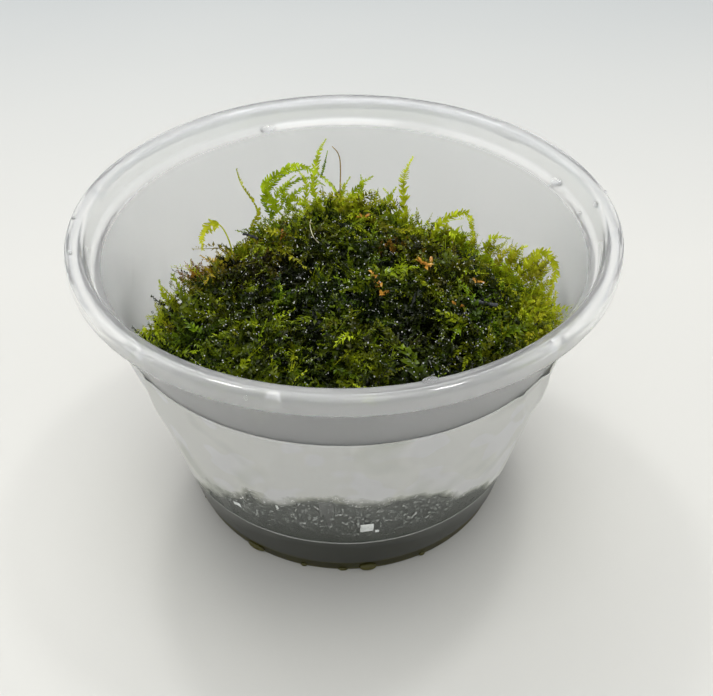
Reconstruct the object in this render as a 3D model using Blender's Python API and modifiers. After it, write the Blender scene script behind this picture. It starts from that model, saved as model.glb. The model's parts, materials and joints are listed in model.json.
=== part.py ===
"""A clump of java moss in a small frosted portion cup with a label round its front.

Sizes are in millimetres and turned to metres by MM. The cup stands on z = 0 with its axis on the
world Z axis, and its front faces -Y.
"""
import math

import bmesh
import bpy
from mathutils import Matrix, Vector, noise

MM = 0.001
MERGE_DISTANCE = 0.02 * MM

# Cup, a turned shell
RIM_RADIUS = 37.0
CUP_HEIGHT = 45.3
SKIRT_HEIGHT = 2.5
SKIRT_THICKNESS = 0.6
SKIRT_TAPER = 0.05
FLANGE_THICKNESS = 0.8
RIM_ROUNDING = 0.5
RIM_INNER_RADIUS = 34.8
STEP_TOP_RADIUS = 34.45
STEP_TOP_DROP = 0.8
STEP_FOOT_RADIUS = 34.1
STEP_DEPTH = 2.9
STEP_OUTER_TOP_RADIUS = 35.25
STEP_OUTER_FOOT_RADIUS = 34.85
STEP_OUTER_DEPTH = 3.2
LEDGE_INNER_RADIUS = 32.9
LEDGE_DROP = 0.7
WALL_TOP_Z = 41.3
WALL_TOP_RADIUS = 33.75
WALL_FOOT_RADIUS = 24.75
WALL_THICKNESS = 0.85
FOOT_HEIGHT = 2.3
FOOT_SHOULDER_DROP = 0.2
FOOT_RADIUS = 24.2
FOOT_TAPER = 0.1
FOOT_ROUNDING = 0.4
FOOT_RING_INNER_RADIUS = 21.8
RECESS_RADIUS = 21.2
UNDERSIDE_RECESS = 0.7
FLOOR_THICKNESS = 1.0
FLOOR_ROUNDING = 1.3
CUP_STEPS = 48

# Label, a thin bare sheet round the front of the wall
LABEL_TOP_Z = 33.5
LABEL_BOTTOM_Z = 8.6
LABEL_GAP = 0.3
LABEL_THICKNESS = 0.15
LABEL_ANGLE = 200.0
LABEL_STEPS = 44

# Moss, heaped towards the front of the cup
MOSS_GAP = 0.35
MOSS_CEILING = 60.0
HEAP_BLOCK_FOOT = -2.0
MOUND_PEAK_Z = 47.6
MOUND_PEAK_Y = -6.0
MOUND_SIDE_FALL = 0.0070
MOUND_RIGHT_FALL = 0.06
MOUND_BACK_FALL = 0.0045
MOUND_FRONT_FALL = 0.0090
BANK_CREST_Y = 4.2
BANK_LEFT_SLANT = 0.42
BANK_LEFT_CURVE = 0.022
BANK_RIGHT_SLANT = 0.45
BANK_RIGHT_CURVE = 0.005
BANK_SLOPE = 1.15
RIGHT_EDGE = 26.0
BANK_FRONT_Y = -18.0
RIGHT_EDGE_SLOPE = 2.0
MOUND_GRID = 24
MOUND_REACH = 35.7
LUMP_HEIGHT = 1.4
LUMP_SIZE = 5.5
TUFT_HEIGHT = 2.2
TUFT_SIZE = 1.41
TUFT_LAYER = 5.0
MOSS_STEPS = 36
MOSS_ROOM_TURN = 3.7

# Leafy shoots, flat like feathers: the leaves narrow towards the tip and each points forwards
STEM_SHARE = 0.18
LEAF_DROOP = 0.25
TIP_NARROWING = 0.45
LEAF_POINT = 0.90
LEAF_BACK = 0.95
BARE_TIP = 0.5

# Short shoots that cover the heap
MAT_SHOOTS = 50
MAT_SHOOT_LENGTH = 10.0
MAT_SHOOT_WIDTH = 4.6
MAT_SHOOT_THICKNESS = 0.8
MAT_SHOOT_TEETH = 2
MAT_SHOOT_REACH = 30.5
MAT_ROOT_DEPTH = 0.5
MAT_MIDDLE_LIFT = 2.4
MAT_TIP_LIFT = 2.2
MAT_ROOT_SHARE = 0.3
MAT_TIP_SHARE = 0.5
MAT_LEAST_LENGTH = 0.75
MAT_LENGTH_SPREAD = 0.35
MAT_LENGTH_BEAT = 1.7
MAT_TURN_SPREAD = 1.6
MAT_TURN_BEAT = 2.3
MAT_LEAN = 0.3
GOLDEN_ANGLE = math.radians(137.508)

# Shoots that stand free of the heap: width, leaves a side, and route with the root first
FREE_SHOOT_THICKNESS = 0.6
FREE_SHOOT_TURN = 0.35
FREE_SHOOT_TURN_BEAT = 1.9
FREE_SHOOT_TILT = 0.25
FREE_SHOOTS = (
    (1.9, 6, ((-12.0, -4.0, 40.0), (-12.4, -3.2, 45.0), (-11.3, -3.0, 47.8), (-13.1, -2.8, 51.5),
              (-13.6, -3.0, 54.0))),
    (2.4, 7, ((-14.2, -7.0, 40.0), (-15.0, -6.2, 45.4), (-16.4, -6.0, 47.8), (-18.4, -5.6, 45.8),
              (-18.6, -5.8, 43.6))),
    (2.8, 8, ((-7.6, 2.0, 42.5), (-10.8, 3.3, 46.6), (-9.6, 3.5, 49.0), (-6.2, 3.6, 50.7),
              (-2.8, 3.4, 49.0), (-0.8, 3.0, 46.5))),
    (2.6, 5, ((-4.4, 4.4, 46.0), (-3.7, 5.0, 51.1), (-2.4, 5.2, 53.8))),
    (1.3, 4, ((-0.7, 4.2, 45.0), (-0.6, 5.0, 50.8), (-1.6, 5.2, 52.7))),
    (2.2, 4, ((0.2, 3.4, 45.0), (2.0, 4.0, 47.4), (3.9, 4.2, 48.7))),
    (3.0, 6, ((8.3, 1.0, 42.0), (7.9, 1.5, 48.5), (8.2, 1.7, 51.0), (9.1, 1.7, 53.0))),
    (2.0, 4, ((4.3, 1.2, 44.0), (7.0, 2.0, 48.3))),
    (2.6, 7, ((11.2, -3.0, 42.5), (13.0, -2.5, 45.6), (16.0, -2.2, 46.8), (17.2, -2.5, 44.2),
              (17.4, -3.0, 40.6))),
    (2.4, 5, ((18.6, -6.2, 41.0), (18.9, -6.0, 45.1), (21.6, -6.0, 45.3))),
    (2.4, 4, ((21.2, -7.4, 41.0), (22.0, -7.0, 43.6), (23.8, -7.0, 44.8))),
    (2.8, 8, ((22.4, -10.0, 42.0), (25.0, -10.0, 45.8), (27.1, -10.2, 43.4), (26.6, -10.6, 38.3),
              (26.8, -11.0, 34.0))),
    (2.2, 4, ((-20.8, -15.4, 40.5), (-22.2, -16.0, 44.0), (-22.4, -16.2, 46.2))),
)

CUP_COLOR = (0.83, 0.84, 0.81, 1.0)
LABEL_COLOR = (0.60, 0.61, 0.54, 1.0)
MOSS_COLOR = (0.075, 0.095, 0.016, 1.0)


def clear_scene():
    for item in list(bpy.data.objects):
        bpy.data.objects.remove(item, do_unlink=True)


def new_collection(name):
    collection = bpy.data.collections.new(name)
    bpy.context.scene.collection.children.link(collection)
    return collection


def new_material(name, color, roughness, transmission=0.0):
    material = bpy.data.materials.new(name)
    material.use_nodes = True
    shader = material.node_tree.nodes["Principled BSDF"]
    shader.inputs["Base Color"].default_value = color
    shader.inputs["Roughness"].default_value = roughness
    shader.inputs["Metallic"].default_value = 0.0
    shader.inputs["Transmission Weight"].default_value = transmission
    return material


def new_object(name, mesh, collection, material=None):
    item = bpy.data.objects.new(name, mesh)
    collection.objects.link(item)
    if material:
        mesh.materials.append(material)
    return item


def as_cutter(item):
    item.hide_render = True
    item.display_type = 'WIRE'
    return item


def face_outwards(builder):
    """Make the faces agree, pointing away from the solid."""
    bmesh.ops.recalc_face_normals(builder, faces=list(builder.faces))
    if builder.calc_volume(signed=True) < 0.0:
        bmesh.ops.reverse_faces(builder, faces=list(builder.faces))


def rounded_corner(center_r, center_z, radius, start_degrees, end_degrees, parts=3):
    points = []
    for step in range(parts + 1):
        angle = math.radians(start_degrees + (end_degrees - start_degrees) * step / parts)
        points.append((center_r + radius * math.cos(angle), center_z + radius * math.sin(angle)))
    return points


def profile_mesh(name, points):
    """Edges through (radius, height) points in the XZ plane."""
    builder = bmesh.new()
    corners = [builder.verts.new((radius * MM, 0.0, height * MM)) for radius, height in points]
    for first, second in zip(corners, corners[1:]):
        builder.edges.new((first, second))
    mesh = bpy.data.meshes.new(name)
    builder.to_mesh(mesh)
    builder.free()
    return mesh


def turned(name, points, steps, collection, material=None, degrees=360.0):
    item = new_object(name, profile_mesh(name, points), collection, material)
    screw = item.modifiers.new("Turn", 'SCREW')
    screw.axis = 'Z'
    screw.angle = math.radians(degrees)
    screw.steps = steps
    screw.render_steps = steps
    screw.use_merge_vertices = True
    screw.merge_threshold = MERGE_DISTANCE
    screw.use_smooth_shade = True
    return item


def wall_outer_radius(height):
    rise = (height - FOOT_HEIGHT) / (WALL_TOP_Z - FOOT_HEIGHT)
    return WALL_FOOT_RADIUS + (WALL_TOP_RADIUS - WALL_FOOT_RADIUS) * rise


def wall_inner_radius(height):
    return wall_outer_radius(height) - WALL_THICKNESS


def floor_top_z():
    return UNDERSIDE_RECESS + FLOOR_THICKNESS


def cup_profile():
    """The shell's section, from the middle of the floor up the inside and down the outside."""
    floor_z = floor_top_z()
    corner_z = floor_z + FLOOR_ROUNDING
    corner_r = wall_inner_radius(corner_z) - FLOOR_ROUNDING
    ledge_z = CUP_HEIGHT - STEP_DEPTH
    flange_under_z = CUP_HEIGHT - FLANGE_THICKNESS
    skirt_foot_z = CUP_HEIGHT - SKIRT_HEIGHT
    skirt_inner_radius = RIM_RADIUS - SKIRT_THICKNESS
    foot_corner_r = FOOT_RADIUS - FOOT_TAPER - FOOT_ROUNDING
    points = [(0.0, floor_z)]
    points += rounded_corner(corner_r, corner_z, FLOOR_ROUNDING, -90.0, 0.0)
    points += [(LEDGE_INNER_RADIUS, ledge_z - LEDGE_DROP)]
    points += [(STEP_FOOT_RADIUS, ledge_z)]
    points += [(STEP_TOP_RADIUS, CUP_HEIGHT - STEP_TOP_DROP)]
    points += [(RIM_INNER_RADIUS, CUP_HEIGHT)]
    points += rounded_corner(RIM_RADIUS - RIM_ROUNDING, CUP_HEIGHT - RIM_ROUNDING, RIM_ROUNDING, 90.0, 0.0)
    points += [(RIM_RADIUS, skirt_foot_z)]
    points += [(skirt_inner_radius, skirt_foot_z)]
    points += [(skirt_inner_radius - SKIRT_TAPER, flange_under_z)]
    points += [(STEP_OUTER_TOP_RADIUS, flange_under_z)]
    points += [(STEP_OUTER_FOOT_RADIUS, CUP_HEIGHT - STEP_OUTER_DEPTH)]
    points += [(WALL_TOP_RADIUS, WALL_TOP_Z)]
    points += [(WALL_FOOT_RADIUS, FOOT_HEIGHT)]
    points += [(FOOT_RADIUS, FOOT_HEIGHT - FOOT_SHOULDER_DROP)]
    points += rounded_corner(foot_corner_r, FOOT_ROUNDING, FOOT_ROUNDING, 0.0, -90.0, parts=2)
    points += [(FOOT_RING_INNER_RADIUS, 0.0)]
    points += [(RECESS_RADIUS, UNDERSIDE_RECESS)]
    points += [(0.0, UNDERSIDE_RECESS)]
    return points


def make_cup(collection):
    material = new_material("frosted_plastic", CUP_COLOR, 0.35, transmission=0.8)
    return turned("cup", cup_profile(), CUP_STEPS, collection, material)


def make_label(collection):
    """An open sheet turned round the wall, thickened outwards."""
    material = new_material("label_film", LABEL_COLOR, 0.5)
    points = [(wall_outer_radius(height) + LABEL_GAP, height) for height in (LABEL_TOP_Z, LABEL_BOTTOM_Z)]
    label = turned("label", points, LABEL_STEPS, collection, material, LABEL_ANGLE)
    label.rotation_euler.z = math.radians(-90.0 - LABEL_ANGLE / 2.0)
    thickness = label.modifiers.new("Thickness", 'SOLIDIFY')
    thickness.thickness = LABEL_THICKNESS * MM
    thickness.offset = 1.0
    return label


def heap_height(x, y):
    """Height of the moss at (x, y): a low dome at the front that drops as a bank behind its crest."""
    fall_y = MOUND_FRONT_FALL if y < MOUND_PEAK_Y else MOUND_BACK_FALL
    dome = MOUND_PEAK_Z - MOUND_SIDE_FALL * x * x - fall_y * (y - MOUND_PEAK_Y) ** 2
    dome -= MOUND_RIGHT_FALL * max(x, 0.0)
    slant = BANK_LEFT_SLANT if x < 0.0 else BANK_RIGHT_SLANT
    curve = BANK_LEFT_CURVE if x < 0.0 else BANK_RIGHT_CURVE
    crest_y = BANK_CREST_Y - slant * abs(x) - curve * x * x
    bank_drop = BANK_SLOPE * max(y - crest_y, 0.0)
    if y > BANK_FRONT_Y:
        bank_drop += RIGHT_EDGE_SLOPE * max(x - RIGHT_EDGE, 0.0)
    lumps = LUMP_HEIGHT * noise.noise(Vector((x, y, 0.0)) / LUMP_SIZE)
    return dome - bank_drop + lumps


def tuft_height(x, y):
    """The mat's roughness, at a scale near the grid's so that single tufts stand up."""
    return TUFT_HEIGHT * noise.noise(Vector((x, y, TUFT_LAYER)) / TUFT_SIZE)


def make_heap(collection, material):
    """A grid raised to the moss's surface and drawn down to a closed block."""
    builder = bmesh.new()
    bmesh.ops.create_grid(builder, x_segments=MOUND_GRID, y_segments=MOUND_GRID, size=MOUND_REACH * MM)
    top = list(builder.verts)
    drawn = bmesh.ops.extrude_face_region(builder, geom=list(builder.faces))
    for corner in (item for item in drawn["geom"] if isinstance(item, bmesh.types.BMVert)):
        corner.co.z = HEAP_BLOCK_FOOT * MM
    for corner in top:
        x = corner.co.x / MM
        y = corner.co.y / MM
        corner.co.z = (heap_height(x, y) + tuft_height(x, y)) * MM
    face_outwards(builder)
    mesh = bpy.data.meshes.new("moss_heap")
    builder.to_mesh(mesh)
    builder.free()
    return new_object("moss_heap", mesh, collection, material)


def make_room(collection):
    """The space inside the cup that the moss may fill, less the gap to the wall."""
    floor_z = floor_top_z() + MOSS_GAP
    corner_z = floor_z + FLOOR_ROUNDING
    corner_r = wall_inner_radius(corner_z) - MOSS_GAP
    throat_z = CUP_HEIGHT - STEP_DEPTH - LEDGE_DROP - MOSS_GAP
    throat_r = LEDGE_INNER_RADIUS - MOSS_GAP
    points = [(0.0, MOSS_CEILING), (throat_r, MOSS_CEILING), (throat_r, throat_z)]
    points += rounded_corner(corner_r - FLOOR_ROUNDING, corner_z, FLOOR_ROUNDING, 0.0, -90.0)
    points += [(0.0, floor_z)]
    room = as_cutter(turned("moss_room", points, MOSS_STEPS, collection))
    room.rotation_euler.z = math.radians(MOSS_ROOM_TURN)
    return room


def point_along(route, place):
    """The point a share `place` of the way along a smooth curve through the route, and its heading."""
    last = len(route) - 1
    index = min(int(place * last), last - 1)
    share = place * last - index
    before = route[max(index - 1, 0)]
    start = route[index]
    end = route[index + 1]
    after = route[min(index + 2, last)]
    leave = (end - before) * 0.5
    arrive = (after - start) * 0.5
    cubed = share ** 3
    squared = share ** 2
    point = start * (2 * cubed - 3 * squared + 1) + leave * (cubed - 2 * squared + share)
    point += end * (3 * squared - 2 * cubed) + arrive * (cubed - squared)
    heading = start * (6 * squared - 6 * share) + leave * (3 * squared - 4 * share + 1)
    heading += end * (6 * share - 6 * squared) + arrive * (3 * squared - 2 * share)
    return point, heading.normalized()


def frond_outline(width, teeth):
    """A feather's outline, along 0 to 1 and across in millimetres, with pointed leaves on both sides."""
    right = [(0.0, width * STEM_SHARE)]
    length = teeth + BARE_TIP
    for tooth in range(teeth):
        taper = 1.0 - TIP_NARROWING * tooth / teeth
        right.append(((tooth + LEAF_POINT) / length, width * 0.5 * taper))
        right.append(((tooth + LEAF_BACK) / length, width * STEM_SHARE * taper))
    left = [(along, -across) for along, across in reversed(right)]
    return right + [(1.0, 0.0)] + left


def make_frond(collection, route, width, thickness, teeth, facing):
    """A leafy shoot: the outline drawn to its thickness and laid along the route."""
    frond = bmesh.new()
    corners = [frond.verts.new((along, across, 0.0)) for along, across in frond_outline(width, teeth)]
    frond.faces.new(corners)
    drawn = bmesh.ops.extrude_face_region(frond, geom=list(frond.faces))
    for corner in (item for item in drawn["geom"] if isinstance(item, bmesh.types.BMVert)):
        corner.co.z = thickness
    bmesh.ops.triangulate(frond, faces=list(frond.faces), ngon_method='EAR_CLIP')
    points = [Vector(point) for point in route]
    for corner in frond.verts:
        along, across, height = corner.co
        middle, heading = point_along(points, along)
        side = heading.cross(facing).normalized()
        out = side.cross(heading).normalized()
        droop = -abs(across) * LEAF_DROOP
        corner.co = (middle + side * across + out * (height - thickness * 0.5 + droop)) * MM
    face_outwards(frond)
    mesh = bpy.data.meshes.new("frond")
    frond.to_mesh(mesh)
    frond.free()
    return as_cutter(new_object("frond", mesh, collection))


def mat_shoot_route(number):
    """A short arc that leaves the heap and lies back along it."""
    angle = number * GOLDEN_ANGLE
    radius = MAT_SHOOT_REACH * math.sqrt((number + 0.5) / MAT_SHOOTS)
    x = radius * math.cos(angle)
    y = radius * math.sin(angle)
    heading = angle + MAT_TURN_SPREAD * math.sin(MAT_TURN_BEAT * number)
    share = MAT_LEAST_LENGTH + MAT_LENGTH_SPREAD * math.sin(MAT_LENGTH_BEAT * number) ** 2
    length = MAT_SHOOT_LENGTH * share
    ahead = Vector((math.cos(heading), math.sin(heading), 0.0))
    root = Vector((x, y, 0.0)) - ahead * length * MAT_ROOT_SHARE
    middle = Vector((x, y, 0.0))
    tip = Vector((x, y, 0.0)) + ahead * length * MAT_TIP_SHARE
    root.z = heap_height(root.x, root.y) - MAT_ROOT_DEPTH
    middle.z = heap_height(middle.x, middle.y) + MAT_MIDDLE_LIFT
    tip.z = heap_height(tip.x, tip.y) + MAT_TIP_LIFT
    return root, middle, tip


def make_fronds(collection):
    """The mat's shoots, each leaning its own way, then the free shoots, turned to the front."""
    fronds = []
    for number in range(MAT_SHOOTS):
        route = mat_shoot_route(number)
        lean = Vector((MAT_LEAN * math.sin(number), MAT_LEAN * math.cos(2.0 * number), 1.0))
        frond = make_frond(collection, route, MAT_SHOOT_WIDTH, MAT_SHOOT_THICKNESS, MAT_SHOOT_TEETH, lean)
        fronds.append(frond)
    for number, (width, teeth, route) in enumerate(FREE_SHOOTS):
        side = FREE_SHOOT_TURN * math.sin(FREE_SHOOT_TURN_BEAT * number)
        turn = Vector((side, -1.0, FREE_SHOOT_TILT))
        fronds.append(make_frond(collection, route, width, FREE_SHOOT_THICKNESS, teeth, turn))
    return fronds


def add_boolean(item, operation, other):
    modifier = item.modifiers.new(operation.title(), 'BOOLEAN')
    modifier.operation = operation
    modifier.object = other
    modifier.solver = 'MANIFOLD'
    return modifier


def outer_skin(mesh):
    """Keep the largest connected skin, so no pocket stays sealed between two shoots."""
    builder = bmesh.new()
    builder.from_mesh(mesh)
    unseen = set(builder.verts)
    skins = []
    while unseen:
        skin = set()
        front = [unseen.pop()]
        while front:
            corner = front.pop()
            skin.add(corner)
            for edge in corner.link_edges:
                neighbour = edge.other_vert(corner)
                if neighbour in unseen:
                    unseen.discard(neighbour)
                    front.append(neighbour)
        skins.append(skin)
    largest = max(skins, key=len)
    spare = [corner for corner in builder.verts if corner not in largest]
    bmesh.ops.delete(builder, geom=spare, context='VERTS')
    builder.to_mesh(mesh)
    builder.free()


def make_moss(collection, cutters):
    """The heap with its shoots, joined in one solid and kept inside the cup's room."""
    material = new_material("moss", MOSS_COLOR, 0.6)
    heap = make_heap(cutters, material)
    for frond in make_fronds(cutters):
        add_boolean(heap, 'UNION', frond)
    add_boolean(heap, 'INTERSECT', make_room(cutters))
    bpy.context.view_layer.update()
    grown = heap.evaluated_get(bpy.context.evaluated_depsgraph_get())
    mesh = bpy.data.meshes.new_from_object(grown)
    mesh.name = "moss_clump"
    outer_skin(mesh)
    bpy.data.objects.remove(heap, do_unlink=True)
    return new_object("moss_clump", mesh, collection)


def main():
    clear_scene()
    parts = new_collection("java_moss_cup")
    cutters = new_collection("cutters")
    make_cup(parts)
    make_label(parts)
    make_moss(parts, cutters)


main()
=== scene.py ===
# %% [markdown]
# # Java moss in a frosted portion cup
#
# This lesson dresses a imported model: a thin plastic cup, the film label round its front, and the wet
# java moss heaped in it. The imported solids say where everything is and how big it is, so the first
# step loads them and keeps their box. Sizes are real, in millimetres, and MM turns them to metres.

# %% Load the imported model
import json
import math

import bpy
import numpy as np
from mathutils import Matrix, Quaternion, Vector, noise

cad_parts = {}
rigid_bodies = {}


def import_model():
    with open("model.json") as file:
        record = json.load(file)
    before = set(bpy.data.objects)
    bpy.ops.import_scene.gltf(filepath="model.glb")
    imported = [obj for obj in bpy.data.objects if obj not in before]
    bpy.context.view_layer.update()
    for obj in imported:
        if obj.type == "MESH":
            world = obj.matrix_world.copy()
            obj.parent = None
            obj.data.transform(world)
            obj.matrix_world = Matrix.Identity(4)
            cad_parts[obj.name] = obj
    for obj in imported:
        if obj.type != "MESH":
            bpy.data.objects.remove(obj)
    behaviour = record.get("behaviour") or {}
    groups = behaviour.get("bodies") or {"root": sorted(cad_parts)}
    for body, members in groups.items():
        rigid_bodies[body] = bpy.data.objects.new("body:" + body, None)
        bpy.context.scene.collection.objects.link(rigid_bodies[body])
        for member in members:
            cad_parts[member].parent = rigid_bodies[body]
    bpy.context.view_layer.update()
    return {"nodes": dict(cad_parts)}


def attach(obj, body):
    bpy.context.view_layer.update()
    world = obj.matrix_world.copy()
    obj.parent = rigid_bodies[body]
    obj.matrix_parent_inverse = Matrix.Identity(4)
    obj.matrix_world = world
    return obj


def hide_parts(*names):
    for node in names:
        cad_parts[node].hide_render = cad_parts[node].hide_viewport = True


MM = 0.001
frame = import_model()
print("Nodes in the packed model:", sorted(frame["nodes"]))

# %% [markdown]
# ## Helpers for working as by hand
#
# Every operator acts on what is selected, so each step starts by selecting one object alone. A
# finished piece is named and gets its place into its mesh, which leaves its object at the origin.
# A closed shape whose signed volume is negative is inside out, and its faces are flipped.

# %% Selection, edit mode and finishing
def work_on(item):
    """Select one object alone and make it active."""
    for other in bpy.data.objects:
        other.select_set(False)
    item.select_set(True)
    bpy.context.view_layer.objects.active = item


def edit(item, mode='VERT', select='DESELECT'):
    """Enter edit mode on one object, with nothing or everything selected."""
    work_on(item)
    bpy.ops.object.mode_set(mode='EDIT')
    bpy.ops.mesh.select_mode(type=mode)
    bpy.ops.mesh.select_all(action=select)


def leave_edit():
    bpy.ops.object.mode_set(mode='OBJECT')


def make_smooth(item):
    work_on(item)
    bpy.ops.object.shade_smooth()


def apply_modifiers(item):
    work_on(item)
    for modifier in list(item.modifiers):
        bpy.ops.object.modifier_apply(modifier=modifier.name)


def mesh_points(mesh):
    """A mesh's points as an array, in metres."""
    points = np.empty(len(mesh.vertices) * 3)
    mesh.vertices.foreach_get("co", points)
    return points.reshape(-1, 3)


def signed_volume(mesh):
    mesh.calc_loop_triangles()
    corners = np.empty(len(mesh.loop_triangles) * 3, dtype=np.int32)
    mesh.loop_triangles.foreach_get("vertices", corners)
    a, b, c = mesh_points(mesh)[corners.reshape(-1, 3)].transpose(1, 0, 2)
    return float(np.einsum("ij,ij->i", a, np.cross(b, c)).sum() / 6.0)


def face_outwards(item):
    """Make the faces agree, then turn them all if the closed shape is inside out."""
    edit(item, select='SELECT')
    bpy.ops.mesh.remove_doubles(threshold=0.001 * MM)
    bpy.ops.mesh.normals_make_consistent(inside=False)
    leave_edit()
    if signed_volume(item.data) < 0.0:
        edit(item, select='SELECT')
        bpy.ops.mesh.flip_normals()
        leave_edit()


def triangle_count(item):
    return sum(len(face.vertices) - 2 for face in item.data.polygons)


def finish_piece(item, name, material):
    """Name a piece, put its place in its mesh, and let it ride on the object's one body."""
    work_on(item)
    bpy.ops.object.transform_apply(location=True, rotation=True, scale=True)
    item.name = name
    item.data.name = name
    item.data.materials.clear()
    item.data.materials.append(material)
    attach(item, "root")
    print(name, "has", triangle_count(item), "triangles")
    return item


# %% [markdown]
# ## The camera
#
# The picture was taken from the front, about 40 degrees above the table and 150 mm from the cup. A
# 50 mm lens on the usual 36 mm film width gives the same frame. The same numbers also turn a pixel
# of the 713 by 696 picture into a ray, which later places the small things that lie on the moss.

# %% Place the camera
PICTURE_WIDTH = 713
PICTURE_HEIGHT = 696
SENSOR_WIDTH = 36.0
LENS = 50.0
CAMERA_PLACE = Vector((1.55, -114.1, 116.75))
CAMERA_AIM = Vector((1.55, 0.0, 21.86))
CAMERA_ROLL = math.radians(-0.26)
WALK_START = 80.0
WALK_END = 190.0
WALK_STEP = 0.1

camera_turn = (CAMERA_AIM - CAMERA_PLACE).to_track_quat('-Z', 'Y')
camera_turn = camera_turn @ Quaternion((0.0, 0.0, 1.0), CAMERA_ROLL)
bpy.ops.object.camera_add(location=CAMERA_PLACE * MM, rotation=camera_turn.to_euler())
camera = bpy.context.active_object
camera.name = "photo_camera"
camera.data.sensor_width = SENSOR_WIDTH
camera.data.lens = LENS
camera.data.clip_start = 1.0 * MM
bpy.context.scene.camera = camera


def pixel_ray(across, down):
    """The direction from the camera through a pixel of the picture."""
    focal = LENS / SENSOR_WIDTH * PICTURE_WIDTH
    ray = Vector((across - PICTURE_WIDTH / 2.0, PICTURE_HEIGHT / 2.0 - down, -focal))
    return (camera_turn @ ray).normalized()


def walk_to(across, down, gap):
    """The first place on a pixel's ray where a gap closes, or the place where it is least."""
    ray = pixel_ray(across, down)
    nearest = None
    least = math.inf
    for distance in np.arange(WALK_START, WALK_END, WALK_STEP):
        place = CAMERA_PLACE + ray * float(distance)
        room = gap(place)
        if room < least:
            nearest = place
            least = room
        if room <= 0.0:
            break
    return nearest


print("Camera is", round((CAMERA_PLACE - CAMERA_AIM).length, 1), "mm from its aim")

# %% [markdown]
# ## The table and the light
#
# A pale matt floor stands in for the table. The light is soft and comes from above and a little
# behind the cup on the left, so the cup's shade falls to the front and the right, and the thin moss
# tips at the back light up. Two small lamps of little power add the sharp glints of wet leaves and
# plastic edges. The world fills in the rest. The Standard view keeps the pale tones as they are set.

# %% Floor, lights and world
FLOOR_SIZE = 2400.0
KEY_PLACE = Vector((-140.0, 310.0, 620.0))
KEY_SIZE = 420.0
KEY_POWER = 0.85
TOP_PLACE = Vector((40.0, -60.0, 700.0))
TOP_SIZE = 300.0
TOP_POWER = 0.95
GLINT_PLACES = (Vector((-150.0, 240.0, 560.0)), Vector((170.0, 120.0, 620.0)))
GLINT_SIZE = 60.0
GLINT_POWER = 0.45
LIGHT_AIM = Vector((0.0, 0.0, 20.0))
WORLD_COLOR = (0.97, 0.985, 1.0, 1.0)
WORLD_STRENGTH = 0.79


def add_softbox(name, place, size, power):
    turn = (LIGHT_AIM - place).to_track_quat('-Z', 'Y')
    bpy.ops.object.light_add(type='AREA', location=place * MM, rotation=turn.to_euler())
    light = bpy.context.active_object
    light.name = name
    light.data.shape = 'SQUARE'
    light.data.size = size * MM
    light.data.energy = power
    return light


bpy.ops.mesh.primitive_plane_add(size=FLOOR_SIZE * MM, location=(0.0, 0.0, 0.0))
floor = bpy.context.active_object
floor.name = "floor"
add_softbox("key_softbox", KEY_PLACE, KEY_SIZE, KEY_POWER)
add_softbox("top_softbox", TOP_PLACE, TOP_SIZE, TOP_POWER)
for number, place in enumerate(GLINT_PLACES, 1):
    add_softbox(f"glint_lamp_{number}", place, GLINT_SIZE, GLINT_POWER)

world = bpy.data.worlds.new("pale_room")
world.use_nodes = True
world.node_tree.nodes["Background"].inputs["Color"].default_value = WORLD_COLOR
world.node_tree.nodes["Background"].inputs["Strength"].default_value = WORLD_STRENGTH
bpy.context.scene.world = world
bpy.context.scene.view_settings.view_transform = 'Standard'

# %% [markdown]
# ## Shared shader groups
#
# Three effects come back in several materials, so each is a node group built once. Mottle is a soft
# uneven value from a noise. Height mask is 0 below a height and 1 above it, with a border that can
# wander, or lean from front to back, for the wet foot and the soaked part of the label. Grain turns
# a fine noise into a normal.

# %% Node groups
def link_value(tree, source, target):
    """Link one socket to another, or set the target when the source is a plain value."""
    if isinstance(source, bpy.types.NodeSocket):
        tree.links.new(source, target)
    else:
        target.default_value = source


def math_node(tree, operation, first, second=0.5, clamp=False):
    node = tree.nodes.new('ShaderNodeMath')
    node.operation = operation
    node.use_clamp = clamp
    link_value(tree, first, node.inputs[0])
    link_value(tree, second, node.inputs[1])
    return node.outputs[0]


def split_node(tree, place):
    """The X, Y and Z sockets of a place."""
    node = tree.nodes.new('ShaderNodeSeparateXYZ')
    tree.links.new(place, node.inputs[0])
    return node.outputs


def noise_node(tree, place, scale, detail=3.0, roughness=0.55):
    node = tree.nodes.new('ShaderNodeTexNoise')
    tree.links.new(place, node.inputs["Vector"])
    link_value(tree, scale, node.inputs["Scale"])
    node.inputs["Detail"].default_value = detail
    node.inputs["Roughness"].default_value = roughness
    return node.outputs["Fac"]


def range_node(tree, value, from_low, from_high, to_low, to_high, smooth=False):
    node = tree.nodes.new('ShaderNodeMapRange')
    node.interpolation_type = 'SMOOTHSTEP' if smooth else 'LINEAR'
    tree.links.new(value, node.inputs["Value"])
    link_value(tree, from_low, node.inputs["From Min"])
    link_value(tree, from_high, node.inputs["From Max"])
    link_value(tree, to_low, node.inputs["To Min"])
    link_value(tree, to_high, node.inputs["To Max"])
    return node.outputs["Result"]


def new_group(name, inputs, output, output_kind='NodeSocketFloat'):
    """An empty shader group with named number inputs and one output."""
    tree = bpy.data.node_groups.new(name, 'ShaderNodeTree')
    for label, value in inputs:
        socket = tree.interface.new_socket(label, in_out='INPUT', socket_type='NodeSocketFloat')
        socket.default_value = value
    tree.interface.new_socket(output, in_out='OUTPUT', socket_type=output_kind)
    entry = tree.nodes.new('NodeGroupInput')
    leave = tree.nodes.new('NodeGroupOutput')
    place = tree.nodes.new('ShaderNodeTexCoord').outputs["Object"]
    return tree, entry.outputs, leave.inputs[0], place


def make_mottle():
    tree, entry, leave, place = new_group(
        "mottle", (("Scale", 100.0), ("Low", 0.0), ("High", 1.0)), "Value")
    cloud = noise_node(tree, place, entry["Scale"])
    value = range_node(tree, cloud, 0.3, 0.7, entry["Low"], entry["High"])
    tree.links.new(value, leave)
    return tree


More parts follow.
